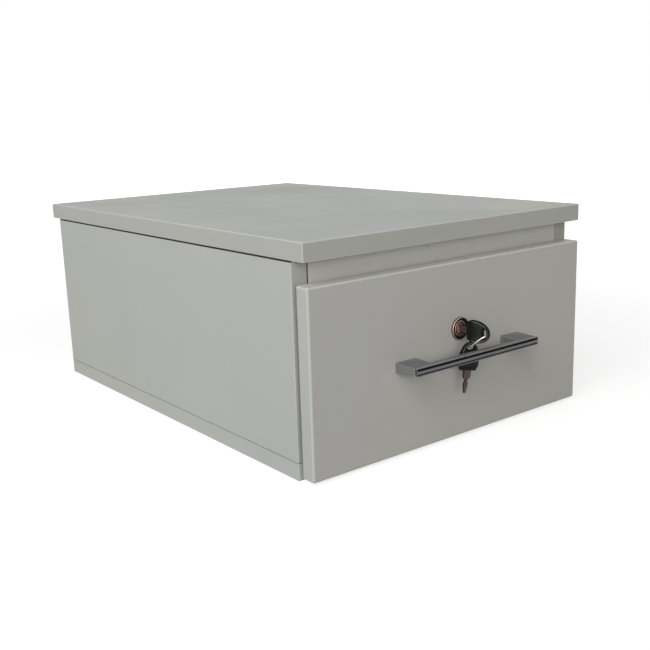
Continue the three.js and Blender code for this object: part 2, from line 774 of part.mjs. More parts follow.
// The first key points its tip into the lock, with its width upright.
function firstKey() {
  const key = makeKey("key_blade", "key_bow");
  key.rotation.set(Math.PI / 2, 0, 0);
  const upright = new THREE.Group();
  upright.rotation.set(0, Math.PI / 2, 0);
  upright.position.set(0, frontFace - keyShoulderProud, lockZ);
  return upright.add(key);
}

// The spare key hangs behind the handle's bar, with its rim in the loop's far end.
function spareKey() {
  const key = makeKey("spare_key_blade", "spare_key_bow");
  const rim = loopStart.clone().addScaledVector(loopAlong, loopLength - spareRimFromEnd);
  const rimHeight = bowLength - (slotFromEnd - slotWidth / 2) / 2;
  key.rotation.set(0, spareTilt, spareTurn, "ZYX");
  const hung = new THREE.Vector3(0, 0, rimHeight).applyEuler(key.rotation);
  key.position.copy(rim).sub(hung);
  return key;
}

function makeKeys() {
  const keys = new THREE.Group();
  keys.add(firstKey(), spareKey());
  const wire = new THREE.TubeGeometry(new TwistedLoop(), loopSteps, wireRadius, wireSides, true);
  add(keys, "key_ring", solid(wire), chrome);
  return keys;
}

function lockBarrel() {
  const flange = block(about(0, lockCaseSize), [plateFront, plateRear], about(lockZ, lockCaseSize));
  const bore = [plugRadius + runningGap, -cutOverrun, barrelReach + cutOverrun];
  return cut(
    join(flange, rod(barrelRadius, 0, barrelReach, "front", lockAxis, 32)),
    rod(...bore, "front", lockAxis, 32),
    ...lockScrewHoles(),
  );
}

// A box that is open to the front, with a slot in its top for the bolt and two guides beside it.
function lockCover() {
  const inner = lockCaseSize / 2 - lockWall;
  const innerZ = [lockZ - inner, lockZ + inner];
  const boltRoom = boltWidth / 2 + cutClearance;
  const roomDepth = [coverFront - cutOverrun, boltSpan[1] + cutClearance];
  const guideDepth = [coverFront, coverRear - lockWall];
  const guide = (side) =>
    block(ordered(side * boltRoom, side * (boltRoom + lockWall)), guideDepth, innerZ);
  const shell = cut(
    block(about(0, lockCaseSize), [coverFront, coverRear], about(lockZ, lockCaseSize)),
    block([-inner, inner], [coverFront - cutOverrun, coverRear - lockWall], innerZ),
    block([-boltRoom, boltRoom], roomDepth, [lockZ, boltTop + cutOverrun]),
  );
  return cut(join(shell, ...bothSides.map(guide)), ...lockScrewHoles());
}

function lockPlug() {
  const discRadius = nibOffset + nibRadius + discMargin;
  const nibAt = [0, plateRear, lockZ - nibOffset];
  const mouth = frontFace - plugProud;
  const keyTip = frontFace - keyShoulderProud + bladeLength;
  const keyway = block(
    about(0, bladeThickness + 2 * cutClearance),
    [mouth - cutOverrun, keyTip + keyTipRoom],
    about(lockZ, bladeWidth + 2 * cutClearance),
  );
  const whole = join(
    rod(plugRadius, -runningGap, plugReach, "front", lockAxis, 32),
    rod(discRadius, nibGap - boltSetback, -runningGap, "front", lockAxis, 32),
    rod(nibRadius, nibGap - boltSetback - boltThickness, -nibGap, "front", nibAt, 12),
  );
  return cut(whole, keyway);
}

// A flat bolt with a level slot for the nib, which crosses it as it lifts the bolt.
function lockBolt() {
  const slotHalf = nibRadius + nibOffset * nibFloatShare + cutClearance;
  const reach = nibOffset + nibRadius + cutClearance;
  const through = [boltSpan[0] - cutOverrun, boltSpan[1] + cutOverrun];
  return cut(
    block(about(0, boltWidth), boltSpan, [lockZ - boltBelowAxis, boltTop]),
    block([-reach, reach], through, about(lockZ - nibOffset, 2 * slotHalf)),
  );
}

function lockRosette() {
  const bore = barrelRadius + cutClearance;
  const rim = rosetteProud * rosetteLipShare;
  const crown = rosetteRadius - (rosetteProud - rim);
  const profile = [
    [bore, seatGap],
    [rosetteRadius, seatGap],
    [rosetteRadius, rim],
    [crown, rosetteProud],
    [bore, rosetteProud],
    [bore, seatGap],
  ];
  return turned(profile, "front", [0, frontFace, lockZ], 32);
}

function makeLock() {
  const lock = new THREE.Group();
  add(lock, "lock_barrel", lockBarrel(), castZinc);
  add(lock, "lock_cover", lockCover(), zincSteel);
  add(lock, "lock_plug", lockPlug(), bronze);
  add(lock, "lock_bolt", lockBolt(), castZinc);
  add(lock, "lock_rosette", lockRosette(), bronze);
  for (const { side, at } of lockScrewPlaces)
    add(lock, sideName("lock_screw", side), screw(lockScrew, "front", at), zincSteel);
  return lock;
}

const unit = new THREE.Group();
unit.add(makeCabinet(), makeSlides(), makeDrawer(), makeHandle(), makeLock(), makeKeys());

export default unit;
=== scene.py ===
import json
import math

import bmesh
import bpy
import numpy as np
from mathutils import Matrix, Vector

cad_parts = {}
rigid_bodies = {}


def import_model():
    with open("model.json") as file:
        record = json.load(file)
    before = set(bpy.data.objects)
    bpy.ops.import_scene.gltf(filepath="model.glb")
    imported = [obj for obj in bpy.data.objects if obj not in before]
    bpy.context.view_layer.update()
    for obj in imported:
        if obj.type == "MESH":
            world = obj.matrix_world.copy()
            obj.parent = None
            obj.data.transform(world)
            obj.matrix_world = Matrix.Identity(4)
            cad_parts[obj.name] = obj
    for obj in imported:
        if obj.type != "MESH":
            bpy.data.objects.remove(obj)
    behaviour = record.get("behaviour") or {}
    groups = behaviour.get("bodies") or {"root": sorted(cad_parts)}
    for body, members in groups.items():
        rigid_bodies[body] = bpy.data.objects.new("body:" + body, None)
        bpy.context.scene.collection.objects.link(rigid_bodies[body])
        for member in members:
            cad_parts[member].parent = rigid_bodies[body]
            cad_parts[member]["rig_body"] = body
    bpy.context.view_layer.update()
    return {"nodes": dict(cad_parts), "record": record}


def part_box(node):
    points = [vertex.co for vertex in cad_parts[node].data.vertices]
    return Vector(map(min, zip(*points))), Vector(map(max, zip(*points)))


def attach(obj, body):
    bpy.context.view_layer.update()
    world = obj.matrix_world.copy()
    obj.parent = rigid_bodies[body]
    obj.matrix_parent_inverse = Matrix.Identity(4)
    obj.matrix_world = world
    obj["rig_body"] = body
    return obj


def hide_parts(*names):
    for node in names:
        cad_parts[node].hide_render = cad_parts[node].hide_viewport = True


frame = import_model()
nodes = frame["nodes"]
slotOf = {part["node"]: part["material_slot"] for part in frame["record"]["subparts"]}
bodyOf = {name: nodes[name]["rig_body"] for name in nodes}
scene = bpy.context.scene
mm = 0.001
sides = {"left": -1, "right": 1}
ends = ("front", "back")
print("frame loaded:", len(nodes), "nodes")


# The photograph's camera, solved from the boards' edges: its place in metres, and the ways to the right of
# the picture, down it and into it.
cameraSettings = dict(
    lens=50.6035, sensor=36, clip=(0.01, 100), place=(-0.6835, -0.93945, 0.35069),
    right=(0.78523, -0.61841, -0.031355), down=(-0.166388, -0.161956, -0.972669),
    forward=(0.59643, 0.768986, -0.230068),
)


def addObject(name, data):
    made = bpy.data.objects.new(name, data)
    scene.collection.objects.link(made)
    return made


def makeCamera(s):
    data = bpy.data.cameras.new("photoCamera")
    data.lens, data.sensor_width = s["lens"], s["sensor"]
    data.clip_start, data.clip_end = s["clip"]
    camera = addObject("photoCamera", data)
    right, down, forward = (Vector(s[key]).normalized() for key in ("right", "down", "forward"))
    turn = Matrix((right, -down, -forward)).transposed()
    camera.matrix_world = Matrix.Translation(s["place"]) @ turn.to_4x4()
    scene.camera = camera


makeCamera(cameraSettings)
scene.view_settings.view_transform = "Standard"
print("camera placed")


# Short ways to place shader nodes. An input is a socket to link from or a plain value.
def feed(tree, made, inputs):
    for key, value in dict(inputs).items():
        if isinstance(value, bpy.types.NodeSocket):
            tree.links.new(value, made.inputs[key])
        else:
            made.inputs[key].default_value = value


def put(tree, kind, inputs=(), **settings):
    made = tree.nodes.new("ShaderNode" + kind)
    for key, value in settings.items():
        setattr(made, key, value)
    feed(tree, made, inputs)
    return made.outputs


def math1(tree, operation, *values):
    return put(tree, "Math", enumerate(values), operation=operation)[0]


def vector1(tree, operation, *values):
    return put(tree, "VectorMath", enumerate(values), operation=operation)[0]


def blendColour(tree, amount, first, second):
    return put(tree, "Mix", {0: amount, 6: first, 7: second}, data_type="RGBA")[2]


def ramp(tree, value, start, end, low=0.0, high=1.0):
    sockets = {"Value": value, "From Min": start, "From Max": end, "To Min": low, "To Max": high}
    return put(tree, "MapRange", sockets, interpolation_type="SMOOTHSTEP")["Result"]


def noise(tree, vector, scale, detail=2.0, roughness=0.5):
    sockets = {"Vector": vector, "Scale": scale, "Detail": detail, "Roughness": roughness}
    return put(tree, "TexNoise", sockets)["Fac"]


middleNoise = (0.3, 0.7)  # where most values of a noise lie


# Each input of a group is its kind of socket, or a number that stands until a material gives its own.
def makeGroup(name, inputs, outputs):
    tree = bpy.data.node_groups.new(name, "ShaderNodeTree")
    for label, value in inputs.items():
        kind = value if isinstance(value, str) else "Float"
        socket = tree.interface.new_socket(name=label, in_out="INPUT", socket_type="NodeSocket" + kind)
        if kind == "Float":
            socket.default_value = value
    for label, kind in outputs.items():
        tree.interface.new_socket(name=label, in_out="OUTPUT", socket_type="NodeSocket" + kind)
    return tree, tree.nodes.new("NodeGroupInput").outputs, tree.nodes.new("NodeGroupOutput")


def placeGroup(tree, name, inputs):
    return put(tree, "Group", inputs, node_tree=groups[name])


# A tone blended towards a group's other colours, each by its mask times the group's Amount.
def layered(tree, given, tone, masks):
    for name, mask in masks.items():
        tone = blendColour(tree, math1(tree, "MULTIPLY", mask, given["Amount"]), tone, given[name])
    return tone


# A group's Roughness, less its Spread where a noise is low and plus it where the noise is high.
def spreadBy(tree, given, value):
    signed = ramp(tree, value, *middleNoise, -1.0, 1.0)
    return math1(tree, "MULTIPLY_ADD", signed, given["Spread"], given["Roughness"])


# Edge mask of a board, from the depths below its faces, half - |p - centre|. On a face the least is nearly
# 0, and the second least is how far the nearest edge is. Upright is the strength of the upright edges. The
# board films paint a highlight along the edges that it marks.
def makeBoxEdge():
    inputs = {"Position": "Vector", "Centre": "Vector", "Half": "Vector", "Width": 0.003, "Upright": 1.0}
    tree, given, out = makeGroup("boxEdge", inputs, {"Edge": "Float"})
    away = vector1(tree, "ABSOLUTE", vector1(tree, "SUBTRACT", given["Position"], given["Centre"]))
    a, b, c = put(tree, "SeparateXYZ", {0: vector1(tree, "SUBTRACT", given["Half"], away)})
    low, high = math1(tree, "MINIMUM", a, b), math1(tree, "MAXIMUM", a, b)
    second = math1(tree, "MAXIMUM", low, math1(tree, "MINIMUM", high, c))
    every = ramp(tree, second, 0.0, given["Width"], 1.0, 0.0)
    level = ramp(tree, math1(tree, "MAXIMUM", low, c), 0.0, given["Width"], 1.0, 0.0)
    others = math1(tree, "MULTIPLY", math1(tree, "SUBTRACT", every, level), given["Upright"])
    feed(tree, out, {"Edge": math1(tree, "ADD", level, others)})
    return tree


driftSettings = dict(patches=(0.45, 0.75), detail=1.5, coolShift=(0.37, 0.91, 0.53))


# Slow drift of a colour towards a warm and a cool neighbour, each in patches of its own.
def makeToneDrift(s):
    colours = dict.fromkeys(("Base", "Warm", "Cool"), "Color")
    inputs = {"Vector": "Vector", **colours, "Scale": 3.0, "Amount": 0.5}
    tree, given, out = makeGroup("toneDrift", inputs, {"Colour": "Color"})
    places = {"Warm": given["Vector"], "Cool": vector1(tree, "ADD", given["Vector"], s["coolShift"])}
    masks = {
        name: ramp(tree, noise(tree, place, given["Scale"], s["detail"]), *s["patches"])
        for name, place in places.items()
    }
    feed(tree, out, {"Colour": layered(tree, given, given["Base"], masks)})
    return tree


skinSettings = dict(fineDetail=2.0, smudgeDetail=4.0, harshness=0.6)
surface = dict(Height="Float", Roughness="Float")


# A moulded or sprayed skin: fine height, and roughness that smudges spread.
def makeSkin(s):
    inputs = {"Vector": "Vector", "Scale": 800.0, "Smudge Scale": 12.0, "Roughness": 0.4, "Spread": 0.08}
    tree, given, out = makeGroup("skin", inputs, surface)
    fine = noise(tree, given["Vector"], given["Scale"], s["fineDetail"], s["harshness"])
    smudge = noise(tree, given["Vector"], given["Smudge Scale"], s["smudgeDetail"], s["harshness"])
    feed(tree, out, {"Height": fine, "Roughness": spreadBy(tree, given, smudge)})
    return tree


# Fine lines along one axis: noise on coordinates that the Stretch vector scales.
def makeBrushed():
    inputs = {"Vector": "Vector", "Stretch": "Vector", "Roughness": 0.3, "Spread": 0.1}
    tree, given, out = makeGroup("brushed", inputs, surface)
    lines = noise(tree, vector1(tree, "MULTIPLY", given["Vector"], given["Stretch"]), 1.0)
    feed(tree, out, {"Height": lines, "Roughness": spreadBy(tree, given, lines)})
    return tree


rubbedSettings = dict(
    breakScale=900.0, breakDetail=3.0, breaks=(0.35, 0.65), leastWear=0.4,
    convex=(0.51, 0.6), hollow=(0.49, 0.42),
)


# Wear on convex edges and grime in hollows, from the mesh's pointiness, with the wear broken up by noise.
def makeRubbed(s):
    colours = dict.fromkeys(("Colour", "Worn", "Grime"), "Color")
    inputs = {"Vector": "Vector", "Pointiness": 0.5, **colours, "Amount": 0.6}
    tree, given, out = makeGroup("rubbed", inputs, {"Colour": "Color"})
    patches = noise(tree, given["Vector"], s["breakScale"], s["breakDetail"])
    broken = ramp(tree, patches, *s["breaks"], s["leastWear"], 1.0)
    masks = {
        "Worn": math1(tree, "MULTIPLY", ramp(tree, given["Pointiness"], *s["convex"]), broken),
        "Grime": ramp(tree, given["Pointiness"], *s["hollow"]),
    }
    feed(tree, out, {"Colour": layered(tree, given, given["Colour"], masks)})
    return tree


groups = {
    "boxEdge": makeBoxEdge(),
    "toneDrift": makeToneDrift(driftSettings),
    "skin": makeSkin(skinSettings),
    "brushed": makeBrushed(),
    "rubbed": makeRubbed(rubbedSettings),
}
print("shared effects built")


# Each kind of material turns a finish into a tone, a height and a roughness, on object coordinates.
def colour(value):
    return (*value, 1.0)


def tones(s, *names):
    return {name.capitalize(): colour(s[name]) for name in names}


def driftedTone(tree, place, s):
    inputs = {"Vector": place, "Scale": s["driftScale"], "Amount": s["drift"]}
    return placeGroup(tree, "toneDrift", {**inputs, **tones(s, "base", "warm", "cool")})["Colour"]


# Wear by the mesh's own corners, then painted light by the shading stored at each point: from -1, a
# painted highlight on a crest, to 1, painted shade in a groove. The worn colour serves both the wear and
# the highlight. A piece that stores none reads 0.
def wornAndPaintedLightTone(tree, place, tone, s):
    pointiness = put(tree, "NewGeometry")["Pointiness"]
    inputs = {"Vector": place, "Pointiness": pointiness, "Colour": tone, **tones(s, "worn", "grime")}
    rubbed = placeGroup(tree, "rubbed", {**inputs, "Amount": s["wear"]})["Colour"]
    paintedShading = put(tree, "Attribute", attribute_name="paintedShading")["Fac"]
    paintedHighlight = math1(tree, "MAXIMUM", math1(tree, "MULTIPLY", paintedShading, -1.0), 0.0)
    rubbed = blendColour(tree, paintedHighlight, rubbed, colour(s["worn"]))
    return blendColour(tree, math1(tree, "MAXIMUM", paintedShading, 0.0), rubbed, colour(s["paintedShadeTone"]))


def fineSkin(tree, place, s):
    inputs = {"Vector": place, "Scale": s["grainScale"], "Smudge Scale": s["smudgeScale"]}
    skin = placeGroup(tree, "skin", {**inputs, "Roughness": s["roughness"], "Spread": s["spread"]})
    return skin["Height"], skin["Roughness"]


# A board's film: the drifting tone, painted lighter along the box's edges by the edge colour as a painted
# highlight, scaled by the highlight amount and by a gain from the board's bottom to its top.
def boardFilm(tree, place, s):
    layers = ("boxCentre", "boxHalf", "edgeHighlightGain")
    centre, half, highlightGain = (put(tree, "Attribute", attribute_name=name) for name in layers)
    box = {"Position": place, "Centre": centre["Vector"], "Half": half["Vector"]}
    edge = placeGroup(tree, "boxEdge", {**box, "Width": s["edgeWidth"], "Upright": s["upright"]})["Edge"]
    lit = math1(tree, "MULTIPLY", edge, math1(tree, "MULTIPLY", highlightGain["Fac"], s["edgeHighlightAmount"]))
    return blendColour(tree, lit, driftedTone(tree, place, s), colour(s["edge"])), *fineSkin(tree, place, s)


def finishedMetal(tree, place, s):
    inputs = {"Vector": place, "Stretch": s["stretch"], "Roughness": s["roughness"], "Spread": s["spread"]}
    lines = placeGroup(tree, "brushed", inputs)
    return wornAndPaintedLightTone(tree, place, driftedTone(tree, place, s), s), lines["Height"], lines["Roughness"]


def matteSolid(tree, place, s):
    return wornAndPaintedLightTone(tree, place, colour(s["base"]), s), *fineSkin(tree, place, s)


def turnedWood(tree, place, s):
    grain = noise(tree, vector1(tree, "MULTIPLY", place, s["stretch"]), 1.0, s["detail"], s["harshness"])
    roughness = ramp(tree, grain, *middleNoise, s["roughness"] - s["spread"], s["roughness"])
    return blendColour(tree, grain, colour(s["light"]), colour(s["dark"])), grain, roughness


def makeMaterial(name, s):
    material = bpy.data.materials.new(name)
    material.use_nodes = True
    tree = material.node_tree
    shader = next(n for n in tree.nodes if n.type == "BSDF_PRINCIPLED")
    tone, height, roughness = s["kind"](tree, put(tree, "TexCoord")["Object"], s)
    bump = put(tree, "Bump", {"Height": height, "Distance": s["relief"], "Strength": 1.0})["Normal"]
    plain = {"Specular IOR Level": s["specular"], "Metallic": s.get("metallic", 0.0)}
    feed(tree, shader, {"Base Color": tone, "Roughness": roughness, "Normal": bump, **plain})
    return material


# Finishes. Scales are per metre, and relief is the height of the bumps in metres. Each worn colour is both
# the wear on convex corners and the painted highlight on crests, and the colour that the stored shading
# darkens towards is painted shade in grooves and hollows.
# The edge colour of a board film is a painted highlight, and on upright edges it is weaker.
greyBoard = dict(
    kind=boardFilm, base=(0.423, 0.441, 0.412), warm=(0.455, 0.462, 0.402), cool=(0.397, 0.424, 0.43),
    drift=0.6, driftScale=3.2, edge=(0.64, 0.65, 0.6), edgeWidth=0.0017, edgeHighlightAmount=0.5, upright=0.2,
    roughness=0.47, spread=0.06, smudgeScale=7.0, grainScale=420.0, relief=0.00003, specular=0.16,
)
# A lighter copy of the board film: painted light on the rail and on the drawer front's top, in the recess
# under the top panel.
railBoardPaintedLight = dict(greyBoard, base=(0.495, 0.505, 0.465), warm=(0.5, 0.505, 0.46), cool=(0.48, 0.495, 0.47))
# A darker copy of the board film: painted shade on the drawer front's face and the top panel's ends.
frontBoard = dict(greyBoard, base=(0.398, 0.408, 0.38), warm=(0.415, 0.42, 0.375), cool=(0.38, 0.396, 0.39))
edgeBand = dict(greyBoard, base=(0.356, 0.368, 0.34), warm=(0.365, 0.37, 0.335), cool=(0.345, 0.36, 0.345))
innerBoard = dict(
    greyBoard, base=(0.55, 0.56, 0.53), warm=(0.57, 0.56, 0.51), cool=(0.53, 0.55, 0.55),
    edge=(0.6, 0.61, 0.58), roughness=0.5, grainScale=650.0,
)
zincSteel = dict(
    kind=finishedMetal, base=(0.5, 0.52, 0.53), warm=(0.56, 0.55, 0.5), cool=(0.44, 0.48, 0.53),
    drift=0.7, driftScale=45.0, worn=(0.72, 0.73, 0.74), grime=(0.2, 0.2, 0.19), paintedShadeTone=(0.05, 0.05, 0.05),
    wear=0.6, roughness=0.33, spread=0.08, stretch=(3000, 60, 3000), relief=0.000012,
    specular=0.5, metallic=0.85,
)
ballSteel = dict(zincSteel, base=(0.68, 0.7, 0.71), drift=0.2, roughness=0.14, spread=0.03, relief=0.000003)
castZinc = dict(zincSteel, base=(0.4, 0.4, 0.41), roughness=0.45, stretch=(900, 900, 900), relief=0.00003)
satinNickel = dict(
    zincSteel, base=(0.152, 0.155, 0.161), warm=(0.164, 0.163, 0.16), cool=(0.138, 0.145, 0.161),
    drift=0.6, driftScale=90.0, worn=(0.26, 0.26, 0.26), grime=(0.08, 0.08, 0.08),
    roughness=0.4, spread=0.05, stretch=(120, 3500, 3500), metallic=0.35,
)
# A lighter copy of the nickel: a painted highlight on the handle grip's eased edges.
nickelEdgeHighlight = dict(satinNickel, base=(0.3, 0.3, 0.3), warm=(0.32, 0.315, 0.3), cool=(0.27, 0.28, 0.3))
# Its worn colour is mostly the painted highlight on the strip's top lip, and its darkest colour painted
# shade.
smokedChrome = dict(
    zincSteel, base=(0.13, 0.128, 0.13), warm=(0.145, 0.132, 0.126), cool=(0.11, 0.115, 0.127),
    driftScale=60.0, worn=(0.6, 0.59, 0.59), grime=(0.02, 0.02, 0.02), paintedShadeTone=(0.006, 0.006, 0.007),
    wear=0.15, roughness=0.24, spread=0.05, stretch=(60, 2500, 2500), metallic=0.5,
)
wireChrome = dict(ballSteel, base=(0.8, 0.78, 0.66), warm=(0.84, 0.8, 0.56), roughness=0.2, metallic=0.5)
# Its worn colour is the painted copper highlight on the lock's crests.
bronze = dict(
    zincSteel, base=(0.05, 0.036, 0.029), warm=(0.2, 0.11, 0.065), cool=(0.016, 0.011, 0.009),
    drift=1.0, driftScale=210.0, worn=(0.8, 0.52, 0.38), grime=(0.01, 0.006, 0.004),
    paintedShadeTone=(0.006, 0.003, 0.002), roughness=0.34, stretch=(1500, 1500, 1500), relief=0.00002,
    specular=0.3, metallic=0.4,
)
# A darker copy of the bronze for the plug: partly the plug's own tone, partly painted shade for the
# keyway's mouth.
plugBronzeAndShade = dict(bronze, base=(0.035, 0.026, 0.022), warm=(0.07, 0.046, 0.036), drift=0.7)
keySteel = dict(
    bronze, base=(0.085, 0.068, 0.062), warm=(0.11, 0.082, 0.07), cool=(0.06, 0.049, 0.046),
    drift=0.6, worn=(0.22, 0.19, 0.17), paintedShadeTone=(0.012, 0.008, 0.007), wear=0.4, stretch=(3000, 3000, 120),
)
blackPlastic = dict(
    kind=matteSolid, base=(0.022, 0.026, 0.024), worn=(0.32, 0.325, 0.33), grime=(0.003, 0.003, 0.003),
    paintedShadeTone=(0.002, 0.002, 0.0025), wear=0.15, roughness=0.42, spread=0.08, smudgeScale=180.0,
    grainScale=3500.0, relief=0.00002, specular=0.16,
)
# Near black: painted shade on the faces deepest in shade in the handle's strip and the lock's rings.
paintedShadeBlack = dict(
    blackPlastic, base=(0.002, 0.0016, 0.0016), worn=(0.006, 0.0055, 0.0055), roughness=0.55, specular=0.03
)
# Near black, darker than raw board: painted shade on the notch faces of the boards' joint seams. The rail's
# nail head takes it too.
seamShadeAndNailBlack = dict(
    blackPlastic, base=(0.035, 0.032, 0.028), worn=(0.07, 0.06, 0.05), grime=(0.02, 0.016, 0.012),
    paintedShadeTone=(0.02, 0.016, 0.012), wear=0.3, roughness=0.85, spread=0.05, smudgeScale=300.0,
    grainScale=1600.0, relief=0.0002, specular=0.1,
)
beech = dict(
    kind=turnedWood, light=(0.6, 0.43, 0.25), dark=(0.45, 0.3, 0.16), stretch=(900, 900, 60),
    detail=3.0, harshness=0.6, roughness=0.7, spread=0.08, relief=0.00005, specular=0.5,
)

finishes = dict(
    greyBoard=greyBoard, railBoardPaintedLight=railBoardPaintedLight, frontBoard=frontBoard, edgeBand=edgeBand,
    innerBoard=innerBoard, zincSteel=zincSteel, ballSteel=ballSteel, castZinc=castZinc,
    satinNickel=satinNickel, nickelEdgeHighlight=nickelEdgeHighlight, smokedChrome=smokedChrome, wireChrome=wireChrome,
    bronze=bronze, plugBronzeAndShade=plugBronzeAndShade, keySteel=keySteel, blackPlastic=blackPlastic,
    paintedShadeBlack=paintedShadeBlack, seamShadeAndNailBlack=seamShadeAndNailBlack, beech=beech,
)
materials = {name: makeMaterial(name, s) for name, s in finishes.items()}
print("materials built:", len(materials))


shellWeld = 1e-6  # metres between points that become one, in pieces made here
cadWeld = 2e-6  # the same in copies of CAD nodes
touch = 2e-5  # metres from a face, within which a point lies on it
flatWithin = 0.5  # degrees between faces that become one
crisp = 38  # degrees between faces, past which their edge is crisp
# Painted shade: a face whose mean stored shading passes this turns near black.
paintedShadeFrom = 0.5  # mean shade of a face, past which it is dark
alongAxis = 0.5  # share of a face's normal along an axis, past which the face looks that way


def readAll(items, key, width=1, kind=np.float32):
    values = np.zeros(len(items) * width, kind)
    items.foreach_get(key, values)
    return values.reshape(-1, width) if width > 1 else values


def storeLayer(mesh, name, domain, values, kind="FLOAT"):
    layer = mesh.attributes.new(name, kind, domain)
    layer.data.foreach_set("value" if kind == "FLOAT" else "vector", values.astype(np.float32))


def fullTurn(count):
    return np.linspace(0, 2 * np.pi, count, endpoint=False)


# Coordinates that change with the row, the column or both, spread over the whole grid.
def gridPoints(*coordinates):
    return np.stack(np.broadcast_arrays(*coordinates), axis=-1)


# Quad (i, j) joins rows i and i + 1 and columns j and j + 1. Columns go round, and rows do if they wrap.
def gridFaces(rows, cols, wrapRows=False):
    i = np.arange(rows if wrapRows else rows - 1)[:, None]
    j = np.arange(cols)[None, :]
    i2, j2 = (i + 1) % rows, (j + 1) % cols
    return np.stack([i * cols + j, i * cols + j2, i2 * cols + j2, i2 * cols + j], axis=-1).reshape(-1, 4)


# Six times a shell's volume is the sum of a . (b x c) over its faces' fans, and is negative inside out.
def facingOut(points, faces):
    fans = [(points[f][:, :1], points[f][:, 1:-1], points[f][:, 2:]) for f in faces]
    volume = sum(np.einsum("nki,nki->", np.broadcast_to(a, b.shape), np.cross(b, c)) for a, b, c in fans)
    return faces if volume > 0 else [f[:, ::-1] for f in faces]


# Closed shells, each a pair of points and face arrays, as one smooth piece that creases at sharp edges.
# Painted shading, from a painted highlight at -1 to painted shade at 1, has a value for each of their
# points.
def makePiece(name, shells, crease=crisp, paintedShading=None):
    points, faces, count = [], [], 0
    for shellPoints, shellFaces in shells:
        flat = np.asarray(shellPoints, float).reshape(-1, 3)
        for block in facingOut(flat, shellFaces):
            faces.extend(map(tuple, (block + count).tolist()))
        points.append(flat)
        count += len(flat)
    mesh = bpy.data.meshes.new(name)
    mesh.from_pydata(np.concatenate(points).tolist(), [], faces)
    if paintedShading is not None:
        storeLayer(mesh, "paintedShading", "POINT", paintedShading.reshape(-1))
    work = bmesh.new()
    work.from_mesh(mesh)
    bmesh.ops.remove_doubles(work, verts=work.verts, dist=shellWeld)
    work.to_mesh(mesh)
    work.free()
    return linkSmooth(name, mesh, crease)


def linkSmooth(name, mesh, crease):
    mesh.polygons.foreach_set("use_smooth", np.ones(len(mesh.polygons), bool))
    mesh.set_sharp_from_angle(angle=math.radians(crease))
    return addObject(name, mesh)


# The chosen faces take one more material, apart from faces that have left the first one already.
def takeMaterial(mesh, material, chosen):
    mesh.materials.append(materials[material])
    now = readAll(mesh.polygons, "material_index", kind=np.int32)
    taken = np.where(chosen & (now == 0), len(mesh.materials) - 1, now)
    mesh.polygons.foreach_set("material_index", taken.astype(np.int32))


# Faces whose mean painted shading passes the threshold take a second, near-black material as painted
# shade.
def paintedShadeFaces(piece, material):
    mesh = piece.data
    paintedShading = readAll(mesh.attributes["paintedShading"].data, "value")
    corner = readAll(mesh.loops, "vertex_index", kind=np.int32)
    first = readAll(mesh.polygons, "loop_start", kind=np.int32)
    sums = np.add.reduceat(paintedShading[corner], first)
    counts = np.diff(np.append(first, len(corner)))
    takeMaterial(mesh, material, sums / counts > paintedShadeFrom)


def dress(piece, body, slotName, material, *stoodFor):
    piece.data.materials.append(materials[material])
    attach(piece, body)
    if stoodFor:
        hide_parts(*stoodFor)
    return piece


# A piece that stands for one CAD node takes that node's body.
def dressAs(node, piece, material):
    return dress(piece, bodyOf[node], slotOf[node], material, node)


# A merged copy of a CAD node, its flat faces whole. The edges that the seam rule picks get a square notch.
def mergedCopy(node, name, seam=None, seamWidth=0.0):
    mesh = nodes[node].data.copy()
    mesh.name = name
    mesh.materials.clear()
    work = bmesh.new()
    work.from_mesh(mesh)
    bmesh.ops.remove_doubles(work, verts=work.verts, dist=cadWeld)
    bmesh.ops.dissolve_limit(work, angle_limit=math.radians(flatWithin), verts=work.verts, edges=work.edges)
    if seam:
        chosen = [edge for edge in work.edges if all(seam(vert.co) for vert in edge.verts)]
        cut = dict(offset=seamWidth, offset_type="OFFSET", segments=2, profile=0.0, affect="EDGES")
        bmesh.ops.bevel(work, geom=chosen, material=1, clamp_overlap=True, **cut)
    work.edges.ensure_lookup_table()
    turns = np.array([edge.calc_face_angle(0.0) for edge in work.edges])
    work.to_mesh(mesh)
    work.free()
    return mesh, turns


# A CAD node with its crisp edges eased, by weights from 0 to 1 that a rule makes from each edge's tips. A
# material given for the bevel's faces paints a highlight on them.
def easedCopy(
    node, suffix, material, width, rule=None, segments=2, seam=None, seamWidth=0.0, highlightMaterial=None
):
    mesh, turns = mergedCopy(node, node + suffix, seam, seamWidth)
    tips = readAll(mesh.vertices, "co", 3)[readAll(mesh.edges, "vertices", 2, np.int32)]
    piece = linkSmooth(node + suffix, mesh, crisp)
    weights = np.where(turns > math.radians(crisp), 1.0, 0.0)
    storeLayer(mesh, "bevel_weight_edge", "EDGE", rule(tips, weights) if rule else weights)
    bevel = piece.modifiers.new("edgeRounding", "BEVEL")
    bevel.width, bevel.segments = width, segments
    bevel.limit_method = "WEIGHT"
    bevel.use_clamp_overlap = True
    piece.modifiers.new("flatFaces", "WEIGHTED_NORMAL").keep_sharp = True
    dressAs(node, piece, material)
    if highlightMaterial:
        mesh.materials.append(materials[highlightMaterial])
        bevel.material = len(mesh.materials) - 1
    return piece


